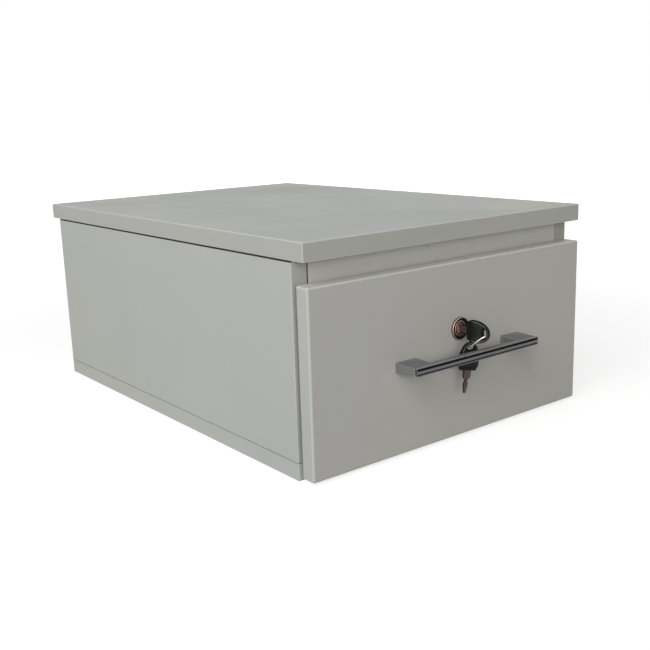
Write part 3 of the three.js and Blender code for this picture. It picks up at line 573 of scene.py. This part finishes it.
# Each board's film, the radius of its edges and the width of its joint seams in mm, and how strong the
# painted highlight on its edges is at the bottom and the top. At a seam the face film stops short of the
# corner.
boards = {
    "top_panel": ("greyBoard", 1.0, 0, (1, 1)),
    **{f"side_panel_{side}": ("greyBoard", 0.7, 1.25, (0, 1)) for side in sides},
    "base_panel": ("greyBoard", 0.7, 0.1, (0, 0)),
    "back_panel": ("greyBoard", 0.5, 0, (0, 0.3)),
    "front_rail": ("railBoardPaintedLight", 0.7, 0.65, (1, 1)),
    "drawer_front": ("greyBoard", 2.2, 0, (1, 1)),
    **{f"drawer_side_{side}": ("innerBoard", 0.7, 0, (1, 1)) for side in sides},
    "drawer_back": ("innerBoard", 0.6, 0, (1, 1)),
    "drawer_bottom": ("innerBoard", 0.3, 0, (1, 1)),
}
# Faces with a film of their own: the board, the film, and the axis and the way that the faces look. The
# lighter rail film is painted light, and the darker front film is painted shade.
bands = [
    ("top_panel", "edgeBand", 1, -1),
    ("side_panel_left", "edgeBand", 1, -1),
    ("side_panel_right", "edgeBand", 1, -1),
    ("top_panel", "frontBoard", 0, -1),
    ("top_panel", "frontBoard", 0, 1),
    ("drawer_front", "frontBoard", 1, -1),
    ("drawer_front", "railBoardPaintedLight", 2, 1),
]
boardSteps = 4  # segments across a rounded edge
outerFrom = 0.19  # metres left or right of the middle, past which a face is the cabinet's outer one


# Outer edges only: an edge counts if both its tips lie on the same two faces of the board's box.
def outerEdges(low, high):
    def rule(tips, weights):
        onFace = [np.abs(tips - corner) < touch for corner in (low, high)]
        return np.where(np.concatenate(onFace, axis=2).all(axis=1).sum(axis=1) >= 2, 1.0, 0.0)

    return rule


# A seam runs down both ends of the rail's face, and along the top of a side or the base on its outer faces.
def seamAt(node, low, high):
    isRail = node == "front_rail"
    flanks = [x for x in (low[0], high[0]) if isRail or abs(x) > outerFrom]
    axis, level = (1, low[1]) if isRail else (2, high[2])

    def onSeam(place):
        beside = min(abs(place.x - x) for x in flanks)
        return max(beside, abs(place[axis] - level)) < touch

    return onSeam


# The box is for the edge mask of the painted highlight, and the highlight's gain goes from its value at the
# bottom to that at the top.
def storeBox(mesh, low, high, highlightGain):
    for name, value in (("boxCentre", (low + high) / 2), ("boxHalf", (high - low) / 2)):
        storeLayer(mesh, name, "POINT", np.tile(value, len(mesh.vertices)), "FLOAT_VECTOR")
    share = (readAll(mesh.vertices, "co", 3)[:, 2] - low[2]) / (high[2] - low[2])
    storeLayer(mesh, "edgeHighlightGain", "POINT", highlightGain[0] + (highlightGain[1] - highlightGain[0]) * share)


for node, (film, radius, seamWidth, highlightGain) in boards.items():
    low, high = np.array(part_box(node))
    seam = seamAt(node, low, high) if seamWidth else None
    rule = outerEdges(low, high)
    board = easedCopy(node, "_board", film, radius * mm, rule, boardSteps, seam, seamWidth * mm)
    # The seams' notch faces take the near-black film as painted shade in the joints.
    board.data.materials.append(materials["seamShadeAndNailBlack"])
    storeBox(board.data, low, high, highlightGain)
for node, film, axis, way in bands:
    mesh = bpy.data.objects[node + "_board"].data
    looks = readAll(mesh.polygons, "normal", 3)[:, axis] * way
    takeMaterial(mesh, film, looks > alongAxis)
print("boards made:", len(boards))


# Point (i, a) of a turned piece is (r_i cos a, r_i sin a, h_i), and h runs along the axis from the place.
def turned(profile, cols, place, axis, wrapRows=False):
    r, h = np.asarray(profile, float).T[..., None]
    angle = fullTurn(cols)
    local = gridPoints(r * np.cos(angle), r * np.sin(angle), h)
    return stand(local, place, axis), [gridFaces(len(r), cols, wrapRows)]


def stand(local, place, axis):
    turn = np.array(Vector((0, 0, 1)).rotation_difference(Vector(axis)).to_matrix())
    return local.reshape(-1, 3) @ turn.T + np.array(place)


# Each pass cuts every corner of a profile at a quarter and three quarters of its sides.
def softened(profile, passes=2):
    p = np.asarray(profile, float)
    for _ in range(passes):
        q = np.roll(p, -1, axis=0)
        p = np.stack([0.75 * p + 0.25 * q, 0.25 * p + 0.75 * q], axis=1).reshape(-1, p.shape[1])
    return p


# Each kind's head height, shank radius, length, pitch and taper, in mm, and the way it points on the right
# side. The left side mirrors it.
screwKinds = {
    "base_screw": (4.0, 3.2, 46, 2.6, 6.4, (0, 0, 1)),
    "strike_screw": (0.8, 1.6, 15, 1.5, 3.2, (0, 0, 1)),
    "cabinet_rail_screw": (0.9, 1.75, 14, 1.6, 3.5, (1, 0, 0)),
    "drawer_rail_screw": (1.5, 1.75, 11, 1.6, 3.5, (-1, 0, 0)),
    "handle_screw": (2.4, 2.0, 30, 0.9, 1.0, (0, -1, 0)),
    "lock_screw": (1.6, 1.6, 20, 1.5, 3.2, (0, -1, 0)),
}
# The cross's arms are shares of the head's radius, with powers that sharpen them, and its depth is a share
# of the head's height. Core and ridge are shares of the shank's radius, and bed and thread are in mm.
screwForm = dict(
    cols=32, headRows=14, rowsPerTurn=6, armHalf=0.15, armSharp=8, armReach=0.56, endSharp=12,
    crossDepth=0.55, bed=0.02, core=0.74, tipCore=0.25, ridge=0.24, threadFrom=0.8, threadGrows=1.2,
)


# Nearly 1 within an arm's half width and reach of the middle, and nearly 0 outside.
def crossArm(across, along, radius, s):
    flank = 1 + (across / (s["armHalf"] * radius)) ** s["armSharp"]
    return 1 / flank / (1 + (along / (s["armReach"] * radius)) ** s["endSharp"])


# Head: height 1 - (r/R)^3 to the power 1/3, less a cross that sinks where |x| or |y| is small.
# Shank: radius core + ridge, the ridge by the cosine of h / pitch - angle / (2 pi), tapered at the tip.
def screwShell(kind, headRadius, place, axis, s):
    headHeight, shank, length, pitch, taperLength, _ = screwKinds[kind]
    angle = fullTurn(s["cols"])[None, :]
    r = headRadius * np.sin(np.linspace(0, np.pi / 2, s["headRows"]))[:, None]
    dome = -headHeight * (1 - (r / headRadius) ** 3) ** (1 / 3)
    x, y = r * np.cos(angle), r * np.sin(angle)
    cross = np.maximum(crossArm(x, y, headRadius, s), crossArm(y, x, headRadius, s))
    head = gridPoints(x, y, np.minimum(dome + s["crossDepth"] * headHeight * cross, -s["bed"]))
    h = np.linspace(s["bed"], length, int(length / pitch * s["rowsPerTurn"]))[:, None]
    ridge = 0.5 + 0.5 * np.cos(2 * np.pi * h / pitch - angle)
    taper = np.clip((length - h) / taperLength, 0, 1)
    started = np.clip((h - s["threadFrom"]) / s["threadGrows"], 0, 1) * taper
    core = s["core"] * shank * (s["tipCore"] + (1 - s["tipCore"]) * taper)
    radius = (core + s["ridge"] * shank * ridge * started) * (h < length)
    local = np.concatenate([head, gridPoints(radius * np.cos(angle), radius * np.sin(angle), h)]) * mm
    return stand(local, place, axis), [gridFaces(len(local), s["cols"])]


def screwPiece(node, kind, sign):
    low, high = np.array(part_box(node))
    along = np.array(screwKinds[kind][-1], float) * (sign, 1, 1)
    start = np.where(along > 0, low, high)
    place = np.where(along != 0, start + along * screwKinds[kind][0] * mm, (low + high) / 2)
    across = (high - low)[along == 0].max()
    shell = screwShell(kind, across / 2 / mm, place, along, screwForm)
    dressAs(node, makePiece(node + "_turned", [shell]), "zincSteel")


for kind in screwKinds:
    for side, sign in sides.items():
        for node in (f"{kind}_{side}", *(f"{kind}_{side}_{end}" for end in ends)):
            if node in nodes:
                screwPiece(node, kind, sign)
print("screws turned")


# Slides, in mm. A ball cage's rise and depth are where the middles of its balls are.
railSettings = dict(steel=1.2, bend=1.4, bendSteps=7, lip=0.35, lipLength=1.3)
cageSettings = dict(
    steel=0.6, bend=0.9, bendSteps=5, lip=0.0, lipLength=1.0, ball=1.6, balls=4, ballRows=13, ballCols=24
)
cageRows = dict(outer=dict(rise=19.93, ballDepth=4.975), inner=dict(rise=15.29, ballDepth=3.575))
flangeSteps = 6


# A channel's centreline as (depth from the web, height): flange, quarter bend, web, quarter bend, flange.
# The skins lie half the sheet's thickness to each side of it, along its normals.
def channelSkins(depth, half, s):
    steel, bend = s["steel"], s["bend"]
    reach, top = depth - steel / 2, half - steel / 2
    t = np.linspace(0, 1, flangeSteps)
    lip = s["lip"] * (0.5 + 0.5 * np.cos(np.pi * t))
    flange = np.stack([reach - t * s["lipLength"], top - lip], axis=1)
    angle = np.linspace(np.pi / 2, np.pi, s["bendSteps"])
    corner = np.stack([bend + bend * np.cos(angle), top - bend + bend * np.sin(angle)], axis=1)
    upper = np.concatenate([flange, corner])
    line = np.concatenate([upper, (upper * (1, -1))[::-1]])
    along = np.gradient(line, axis=0)
    along /= np.linalg.norm(along, axis=1, keepdims=True)
    normal = np.stack([-along[:, 1], along[:, 0]], axis=1)
    middle = line + (steel / 2, 0)
    return middle + normal * steel / 2, middle - normal * steel / 2


# The skins' closed outline is carried along y, with strips of quads across the sheet at both ends.
def channelShell(node, half, inward, s):
    low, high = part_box(node)
    webX = low.x if inward > 0 else high.x
    outer, inner = channelSkins((high.x - low.x) / mm, half, s)
    outline = np.concatenate([outer, inner[::-1]]) * mm
    n = len(outline)
    y = np.array([low.y, high.y])[:, None]
    points = gridPoints(webX + inward * outline[:, 0], y, (low.z + high.z) / 2 + outline[:, 1])
    k = np.arange(len(outer) - 1)
    cap = np.stack([k, n - 1 - k, n - 2 - k, k + 1], axis=1)
    return points, [gridFaces(2, n), cap, cap[:, ::-1] + n]


def railPiece(node, inward, s):
    low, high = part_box(node)
    shell = channelShell(node, (high.z - low.z) / 2 / mm, inward, s)
    dressAs(node, makePiece(node + "_bent", [shell]), "zincSteel")


# Point (i, a) of a ball is centre + R (sin t cos a, sin t sin a, cos t).
def ballShell(centre, radius, rows, cols):
    t = np.linspace(0, np.pi, rows)
    profile = np.stack([radius * np.sin(t), radius * np.cos(t)], axis=1)
    profile[[0, -1], 0] = 0
    return turned(profile, cols, centre, (0, 0, 1))


def cagePiece(node, kind, inward, s):
    low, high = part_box(node)
    row = cageRows[kind]
    shells = [channelShell(node, row["rise"] + s["steel"] / 2, inward, s)]
    ballX = (low.x if inward > 0 else high.x) + inward * row["ballDepth"] * mm
    pitch = (high.y - low.y) / s["balls"]
    for up in (-1, 1):
        for i in range(s["balls"]):
            centre = (ballX, low.y + pitch * (i + 0.5), (low.z + high.z) / 2 + up * row["rise"] * mm)
            shells.append(ballShell(centre, s["ball"] * mm, s["ballRows"], s["ballCols"]))
    dressAs(node, makePiece(node + "_bent", shells), "ballSteel")


for side, sign in sides.items():
    railPiece(f"cabinet_rail_{side}", -sign, railSettings)
    railPiece(f"mid_rail_{side}", -sign, railSettings)
    railPiece(f"drawer_rail_{side}", sign, railSettings)
    for kind in cageRows:
        cagePiece(f"{kind}_ball_cage_{side}", kind, -sign, cageSettings)
print("slides bent")


# The cast handle, in mm: how far its edges are eased, and where its inner corners and screw holes are
gripSettings = dict(
    ease=0.45, cornerEase=1.6, easeSteps=3, innerCorner=64.5, barRear=-310.0, within=0.05,
    screwX=80, screwZ=97, screwHole=3.0,
)


# Corners where the feet meet the bar get the wide fillet, others a slight one, and screw holes none.
def gripRule(tips, weights):
    s = gripSettings
    x, y, z = np.moveaxis(tips / mm, -1, 0)
    corner = (np.abs(np.abs(x) - s["innerCorner"]) < s["within"]) & (np.abs(y - s["barRear"]) < s["within"])
    hole = np.hypot(np.abs(x) - s["screwX"], z - s["screwZ"]) < s["screwHole"]
    slight = weights * s["ease"] / s["cornerEase"]
    return np.where(hole.all(axis=1), 0.0, np.where(corner.all(axis=1), 1.0, slight))


cornerEase, easeSteps = gripSettings["cornerEase"] * mm, gripSettings["easeSteps"]
# The grip's eased edges take the lighter nickel as a painted highlight.
easedCopy("handle_grip", "_cast", "satinNickel", cornerEase, gripRule, easeSteps, highlightMaterial="nickelEdgeHighlight")

# The strip in the handle's front, in mm. Its line is (height share, depth, painted shading) from the bottom
# up: a lip dulled by painted shade, a dark line of painted shade, a flat band, a hollow painted near black
# as shade and a lip with a painted highlight.
trimSettings = dict(
    line=[
        (-1, 0.5, 0.5), (-0.95, 0.2, 0.45), (-0.75, 0.15, 0.4), (-0.7, 0.4, 0.9), (-0.52, 0.45, 1),
        (-0.46, 0.12, 0.2), (-0.4, 0, 0), (0.12, 0, 0), (0.18, 0.1, 0.2), (0.22, 0.3, 0.7),
        (0.26, 0.55, 1), (0.92, 0.55, 1), (0.94, 0.4, 0.5), (0.96, 0.1, -1), (1, 0.1, -1),
    ],
    middle=97.9, half=4.35, back=1.0, endInset=1.3, rows=25, steps=101, crease=50,
)


# The strip's outline in (y, z), carried along x.
def trimPiece(s):
    low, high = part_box("handle_trim")
    share, depth, dark = np.array(s["line"]).T
    t = np.linspace(-1, 1, s["steps"])
    height = s["middle"] + t * s["half"]
    front = np.stack([low.y + np.interp(t, share, depth) * mm, height * mm], axis=1)
    back = front[[-1, 0]] + (s["back"] * mm, 0)
    outline = np.concatenate([front, back])
    paintedShading = np.concatenate([np.interp(t, share, dark), [0, 0]])
    n, rows = len(outline), s["rows"]
    x = np.linspace(low.x + s["endInset"] * mm, high.x - s["endInset"] * mm, rows)[:, None]
    k = np.arange((n - 2) // 2)
    across = np.stack([k, len(t) - 1 - k, len(t) - 2 - k, k + 1], axis=1)
    rim = np.array([[0, n - 1, n - 2, len(t) - 1]])
    caps = [across, rim, across[:, ::-1] + (rows - 1) * n, rim[:, ::-1] + (rows - 1) * n]
    shell = (gridPoints(x, outline[:, 0], outline[:, 1]), [gridFaces(rows, n), *caps])
    piece = makePiece("handle_trim_strip", [shell], s["crease"], np.broadcast_to(paintedShading, (rows, n)))
    dressAs("handle_trim", piece, "smokedChrome")
    # Faces deep in painted shade turn near black.
    paintedShadeFaces(piece, "paintedShadeBlack")


trimPiece(trimSettings)
print("handle made")


# Rings of the lock's face, in mm. A line is (radius, rise from the drawer front, painted shading): painted
# shade in the grooves and a painted highlight on the crests. The highlight is strongest on one side, at an
# angle in degrees, and away from it the crests are weaker and painted shade darkens all.
lockSettings = dict(
    z=122.0, face=-288.5, cols=128, crease=60, highlightSide=155,
    leastHighlight=0.25, addedHighlight=0.95, shadeAwayFromHighlight=0.35,
    rosette=[
        (9.8, 0.25, 1), (12.2, 0.25, 0.7), (12.2, 1.0, 0.4), (12.15, 1.8, 0), (11.9, 2.35, -0.9),
        (11.2, 2.4, -0.9), (10.95, 2.0, 0.6), (10.7, 1.5, 1), (9.8, 1.5, 1),
    ],
    rim=[
        (7.25, 1.0, 1), (9.6, 1.0, 1), (9.7, 1.66, 1), (8.95, 1.68, 1), (8.8, 2.0, 0.3),
        (8.65, 2.25, -0.8), (8.0, 2.25, -0.8), (7.8, 1.9, 0.5), (7.6, 1.66, 1), (7.25, 1.66, 1),
    ],
    plugRing=[
        (4.5, 1.3, 1), (6.9, 1.3, 1), (6.9, 1.5, 1), (6.0, 1.5, 1),
        (5.8, 1.62, -0.7), (5.1, 1.62, -0.7), (4.9, 1.5, 0.8), (4.5, 1.5, 1),
    ],
)
# Each ring's line, body and CAD nodes
lockRings = {
    "lock_rosette_turned": ("rosette", "drawer", ["lock_rosette"]),
    "lock_barrel_rim": ("rim", "drawer", []),
    "lock_plug_ring": ("plugRing", "key", []),
}
# CAD nodes whose crisp edges are eased by so many mm
easedPieces = {
    "lock_plug": ("plugBronzeAndShade", 0.2),
    "lock_barrel": ("castZinc", 0.3),
    "lock_cover": ("zincSteel", 0.6),
    "lock_bolt": ("castZinc", 0.3),
    "strike_plate": ("zincSteel", 0.2),
    **{f"cam_disc_{side}": ("castZinc", 0.2) for side in sides},
    **{f"cam_bolt_{side}": ("zincSteel", 0.1) for side in sides},
    **{f"top_dowel_{side}_{end}": ("beech", 0.6) for side in sides for end in ends},
}
easedNames = {"plugBronzeAndShade": "_cut", "beech": "_turned"}


def lockRing(name, line, body, stoodFor, s):
    place, axis = (0, s["face"] * mm, s["z"] * mm), (0, -1, 0)
    r, h, dark = softened(line).T
    shell = turned(np.stack([r, h], axis=1) * mm, s["cols"], place, axis, wrapRows=True)
    # Painted highlight on the crests, strongest towards one side, and painted shade over all away from it.
    rubbed = np.maximum(np.cos(fullTurn(s["cols"]) - math.radians(s["highlightSide"])), 0)
    paintedHighlight = np.where(dark[:, None] < 0, s["leastHighlight"] + s["addedHighlight"] * rubbed, 1)
    paintedShading = np.clip(dark[:, None] * paintedHighlight + s["shadeAwayFromHighlight"] * (1 - rubbed), -1, 1)
    ring = dress(makePiece(name, [shell], s["crease"], paintedShading), body, "bronze", "bronze", *stoodFor)
    paintedShadeFaces(ring, "paintedShadeBlack")


for name, (line, body, stoodFor) in lockRings.items():
    lockRing(name, lockSettings[line], body, stoodFor, lockSettings)
for node, (material, width) in easedPieces.items():
    easedCopy(node, easedNames.get(material, "_eased"), material, width * mm)

# A small nail head low in the rail's film, as (radius, rise) in mm from the rail's face.
nailSettings = dict(
    place=(-24.6, -267.5, 209.8), cols=32,
    line=[(0, 0.12), (0.45, 0.1), (0.75, -0.02), (0.8, -0.3), (0, -0.3)],
)


def nailPiece(s):
    shell = turned(np.array(s["line"]) * mm, s["cols"], np.array(s["place"]) * mm, (0, -1, 0))
    dress(makePiece("rail_nail", [shell]), "cabinet", "zinc_steel", "seamShadeAndNailBlack")


nailPiece(nailSettings)
print("lock made")


# Keys, in mm. Half the bow's outline is (steps, corners in shares of the width and the length) from its
# shoulder up, and its rim and lip are (distance from its outline or its slot, height share, painted
# shading):
# painted shade on the rim and the slot's lip, with a thin painted highlight along the rim. The bow is also
# in painted shade near its shank. The blade's section is (share across, share of the half thickness, groove
# or not, painted shading), with painted shade along its edges and in its groove, and its shares are (half
# width, way down).
keySettings = dict(
    bowLength=30.0, bowWidth=24.0, bowCrease=50, halfThick=1.8, slotLength=9.0, slotWidth=5.0,
    slotFromEnd=5.2, landShare=0.97, shankShade=(0.3, 0.14),
    outline=[
        (14, (0, 0), (0.34, 0)),
        (5, (0.34, 0), (0.42, 0), (0.42, 0.08)),
        (9, (0.42, 0.08), (0.5, 0.18), (0.5, 0.18), (0.5, 0.36)),
        (30, (0.5, 0.36), (0.5, 0.7), (0.3, 1), (0, 1)),
    ],
    rim=[
        (0, 0, 1), (0, 0.5, 1), (0.08, 0.8, 1), (0.3, 0.97, 1), (1.6, 1, 1), (1.8, 1, -0.6),
        (2.7, 0.97, -0.6), (2.9, 0.85, 0.8), (3.2, 0.68, 1), (4.0, 0.66, 1), (4.6, 0.66, 0),
    ],
    lip=[
        (2.7, 0.66, 0), (2.3, 0.66, 1), (1.3, 0.72, 1), (0.95, 0.88, 1), (0.6, 0.94, 0.9),
        (0.25, 0.9, 1), (0.06, 0.78, 1), (0, 0.5, 1), (0, 0, 1),
    ],
    bladeLength=24.7, bladeWidth=8.6, bladeHalf=1.0, bladeCrease=25, bladeInBow=13.0, rowsInBow=6,
    rowsBelow=64, groove=0.4, grooveFade=[(-0.2, 0), (0, 1), (0.75, 1), (0.9, 0)],
    bladeShares=[
        (0.54, 0), (0.54, 0.26), (0.5, 0.31), (0.16, 0.44), (0.34, 0.57), (0.29, 0.74), (0.17, 0.94),
        (0.08, 1),
    ],
    bladeSection=[
        (-1, 0.6, 0, 1), (-0.84, 1, 0, 1), (-0.66, 1, 0, 0), (-0.3, 1, 0, 0), (-0.22, 1, 1, 0.35),
        (0.1, 1, 1, 0.35), (0.18, 1, 0, 0), (0.66, 1, 0, 0), (0.84, 1, 0, 1), (1, 0.6, 0, 1),
    ],
)


# The sum of the corners, each times its binomial share of the powers of t and 1 - t.
def bezier(steps, *corners):
    t = np.linspace(0, 1, steps, endpoint=False)[:, None]
    n = len(corners) - 1
    weights = [math.comb(n, k) * t**k * (1 - t) ** (n - k) for k in range(n + 1)]
    return sum(weight * np.array(corner, float) for weight, corner in zip(weights, corners))


# The bow's outline, up from its shoulder and down again as a mirror image.
def bowOutline(s):
    half = np.concatenate([*(bezier(*curve) for curve in s["outline"]), [(0, 1)]])
    whole = np.concatenate([half, (half[1:-1] * (-1, 1))[::-1]])
    return whole * (s["bowWidth"], s["bowLength"])


# How far the slot's edge is from its middle along each ray, on its flat sides or else its round ends.
def slotReach(ray, s):
    r, straight = s["slotWidth"] / 2, (s["slotLength"] - s["slotWidth"]) / 2
    flat = r / np.maximum(np.abs(ray[:, 1]), 1e-9)
    arc = straight * np.abs(ray[:, 0]) + np.sqrt(np.maximum(r**2 - (straight * ray[:, 1]) ** 2, 0))
    return np.where(flat * np.abs(ray[:, 0]) <= straight, flat, arc)


# From the outline to the slot's edge, along rays to the slot's middle, the height follows a raised rim, a
# sunk field and a lip. The back mirrors the front.
def bowShell(s):
    middle = np.array([0, s["bowLength"] - s["slotFromEnd"]])
    away = bowOutline(s) - middle
    reach = np.linalg.norm(away, axis=1)
    ray = away / reach[:, None]
    slot = slotReach(ray, s)
    rim, lip = np.array(s["rim"]), np.array(s["lip"])
    squeeze = np.minimum(1, s["landShare"] * (reach - slot) / (rim[-1, 0] + lip[0, 0]))
    fromMiddle = np.concatenate([reach - rim[:, :1] * squeeze, slot + lip[:, :1] * squeeze])
    x, along = np.moveaxis(middle + ray * fromMiddle[..., None], -1, 0)
    _, height, paintedShading = np.concatenate([rim, lip]).T
    front = gridPoints(x, height[:, None] * s["halfThick"], along)
    grid = np.concatenate([front, (front * (1, -1, 1))[-2:0:-1]])
    # Painted shade over the bow near its shank, fading out further up.
    near, full = s["shankShade"]
    shank = np.clip((near - grid[..., 2] / s["bowLength"]) / (near - full), 0, 1)
    paintedShading = np.concatenate([paintedShading, paintedShading[-2:0:-1]])[:, None] * (1 - shank) + shank
    return grid.reshape(-1, 3), [gridFaces(*grid.shape[:2], wrapRows=True)], paintedShading


# Section at each station: the half width from the blade's shares, a little smoothed, and faces at the half
# thickness less a milled groove that fades out at both ends.
def bladeShell(s):
    across, down = np.array(s["bladeShares"]).T
    x, thick, inGroove, paintedShading = np.array(s["bladeSection"]).T
    inBow = np.linspace(s["bladeInBow"], 0, s["rowsInBow"], endpoint=False)
    z = np.concatenate([inBow, -np.linspace(0, 1, s["rowsBelow"]) * s["bladeLength"]])
    w = np.interp(-z / s["bladeLength"], down, across) * s["bladeWidth"]
    i = np.arange(s["rowsInBow"] + 1, len(w) - 1)
    w[i] = (w[i - 1] + 2 * w[i] + w[i + 1]) / 4
    fade = np.interp(-z / s["bladeLength"], *np.array(s["grooveFade"]).T)
    face = thick * s["bladeHalf"] - fade[:, None] * inGroove * s["groove"]
    faceX = w[:, None] * x
    grid = gridPoints(np.hstack([faceX, -faceX]), np.hstack([-face, face]), z[:, None])
    rows, cols = grid.shape[:2]
    caps = [np.arange(cols)[None, :], np.arange(cols)[None, ::-1] + (rows - 1) * cols]
    # The section's painted shading, the same at every station: painted shade along the edges and in the
    # groove.
    return grid.reshape(-1, 3), [gridFaces(rows, cols), *caps], np.tile(paintedShading, 2 * rows)


# The loop of wire through both bows, in mm and degrees. It slopes down and twists as it goes, and the spare
# key hangs from its far end.
ringSettings = dict(
    start=(0, -325.5, 119.4), slope=28.4, twist=50, length=27.3, width=12.5, wire=0.72, rows=180, cols=12,
    darkFrom=(0.74, 0.82), rimFromEnd=4, rimHeight=28.65, spareTurn=-15, spareTilt=9,
    firstShoulder=(0, -300, 122),
)


def ringAlong(s):
    slope = math.radians(s["slope"])
    return np.array([0, math.cos(slope), -math.sin(slope)])


# The wire's line: start + along (L/2)(1 - cos a) + (W/2) sin a across, where across turns on the way along.
def ringLine(s):
    a = fullTurn(s["rows"])[:, None]
    along, right = ringAlong(s), np.array([1.0, 0, 0])
    rise = np.cross(right, along)
    way = s["length"] / 2 * (1 - np.cos(a))
    twist = math.radians(s["twist"]) * way / s["length"]
    across = right * np.cos(twist) + rise * np.sin(twist)
    return np.array(s["start"]) + along * way + s["width"] / 2 * np.sin(a) * across


# A tube's ring is centred on its line, in the plane of the two directions square to the line.
def tubeShell(line, radius, cols):
    ahead = np.roll(line, -1, axis=0) - np.roll(line, 1, axis=0)
    ahead /= np.linalg.norm(ahead, axis=1, keepdims=True)
    inwards = line.mean(axis=0) - line
    first = inwards - (inwards * ahead).sum(axis=1, keepdims=True) * ahead
    first /= np.linalg.norm(first, axis=1, keepdims=True)
    second = np.cross(ahead, first)
    b = fullTurn(cols)[None, :, None]
    points = line[:, None] + radius * (np.cos(b) * first[:, None] + np.sin(b) * second[:, None])
    return points, [gridFaces(len(line), cols, wrapRows=True)]


# A key is built with its shoulder at the origin and its bow upwards, then turned and moved.
def keyPieces(name, turn, place, s):
    for node, suffix, (points, faces, paintedShading), crease, material in (
        (name + "_blade", "_milled", bladeShell(s), s["bladeCrease"], "keySteel"),
        (name + "_bow", "_moulded", bowShell(s), s["bowCrease"], "blackPlastic"),
    ):
        moved = (points @ np.asarray(turn, float).T + place) * mm
        dressAs(node, makePiece(node + suffix, [(moved, faces)], crease, paintedShading), material)


def makeKeys(s, ring):
    keyPieces("key", [(0, 1, 0), (0, 0, -1), (-1, 0, 0)], ring["firstShoulder"], s)
    turn = Matrix.Rotation(math.radians(ring["spareTurn"]), 3, "Z")
    spareTurn = np.array(turn @ Matrix.Rotation(math.radians(ring["spareTilt"]), 3, "Y"))
    rim = np.array(ring["start"]) + ringAlong(ring) * (ring["length"] - ring["rimFromEnd"])
    keyPieces("spare_key", spareTurn, rim - spareTurn @ np.array([0, 0, ring["rimHeight"]]), s)


# The wire darkens towards its far end, where the bow and the handle shade it.
def ringPiece(s):
    wire = tubeShell(ringLine(s) * mm, s["wire"] * mm, s["cols"])
    share = 0.5 - 0.5 * np.cos(fullTurn(s["rows"]))
    start, full = s["darkFrom"]
    paintedShading = np.repeat(np.clip((share - start) / (full - start), 0, 1), s["cols"])
    dress(makePiece("key_ring_wire", [wire], paintedShading=paintedShading), "ring", "chrome", "wireChrome", "key_ring")


makeKeys(keySettings, ringSettings)
ringPiece(ringSettings)
print("keys made")


# The white stage, in metres. The floor glows a little less near the object.
stageSettings = dict(
    size=60.0, paint=0.45, sheen=0.36, glowNear=0.75, glowFar=1.0, nearFrom=0.5, farFrom=1.5, world=0.115
)
# Each lamp's place and size in metres, level, colour, and whether glossy surfaces show it
lamps = {
    "sideLamp": ((-2.9, -1.3, 2.5), (3.0, 3.0), 0.845, (1, 0.995, 0.99), True),
    "frontLamp": ((-1.5, -3.2, 0.95), (3.6, 1.5), 0.41, (1, 0.925, 0.92), True),
    "backLamp": ((2.6, 2.6, 0.6), (3.2, 1.1), 0.35, (1, 1, 1), False),
}


# 1 for camera, glossy and transmission rays, which see a white stage, and 0 for rays that light things.
def seenMask(tree):
    path = put(tree, "LightPath")
    seen = math1(tree, "MAXIMUM", path["Is Camera Ray"], path["Is Glossy Ray"])
    return math1(tree, "MAXIMUM", seen, path["Is Transmission Ray"])


def endTree(tree, kind, light, seen):
    chosen = put(tree, "MixShader", {0: seenMask(tree), 1: light, 2: seen})[0]
    put(tree, "Output" + kind, {"Surface": chosen})


def grey(level):
    return (level, level, level, 1.0)


# A cleared node tree of a material or the world
def freshTree(owner):
    owner.use_nodes = True
    owner.node_tree.nodes.clear()
    return owner.node_tree


def makeFloor(s):
    mesh = bpy.data.meshes.new("studioFloor")
    e = s["size"]
    mesh.from_pydata([(-e, -e, 0), (e, -e, 0), (e, e, 0), (-e, e, 0)], [], [(0, 1, 2, 3)])
    addObject("studioFloor", mesh)
    material = bpy.data.materials.new("studioFloor")
    mesh.materials.append(material)
    tree = freshTree(material)
    place = put(tree, "TexCoord")["Object"]
    away = put(tree, "VectorMath", {0: place}, operation="LENGTH")["Value"]
    level = ramp(tree, away, s["nearFrom"], s["farFrom"], s["glowNear"], s["glowFar"])
    paint = put(tree, "BsdfDiffuse", {"Color": grey(s["paint"])})[0]
    shown = put(tree, "BsdfDiffuse", {"Color": grey(s["sheen"])})[0]
    glow = put(tree, "Emission", {"Color": grey(1.0), "Strength": level})[0]
    lit = put(tree, "AddShader", {0: shown, 1: glow})[0]
    endTree(tree, "Material", paint, lit)


def makeAir(s):
    scene.world = bpy.data.worlds.new("studioAir")
    tree = freshTree(scene.world)
    soft, white = (
        put(tree, "Background", {"Color": grey(1.0), "Strength": level})[0] for level in (s["world"], 1.0)
    )
    endTree(tree, "World", soft, white)


# At level 1 the power is (pi x distance)^2, at which a surface facing that lamp alone shows its own colour.
def makeLamp(name, place, size, level, tint, inGloss):
    data = bpy.data.lights.new(name, "AREA")
    towards = Vector(place)
    data.energy = level * (math.pi * towards.length) ** 2
    data.color = tint
    data.shape = "RECTANGLE"
    data.size, data.size_y = size
    light = addObject(name, data)
    light.location = towards
    light.rotation_euler = towards.to_track_quat("Z", "Y").to_euler()
    light.visible_glossy = inGloss


makeFloor(stageSettings)
makeAir(stageSettings)
for name, settings in lamps.items():
    makeLamp(name, *settings)
print("stage lit")
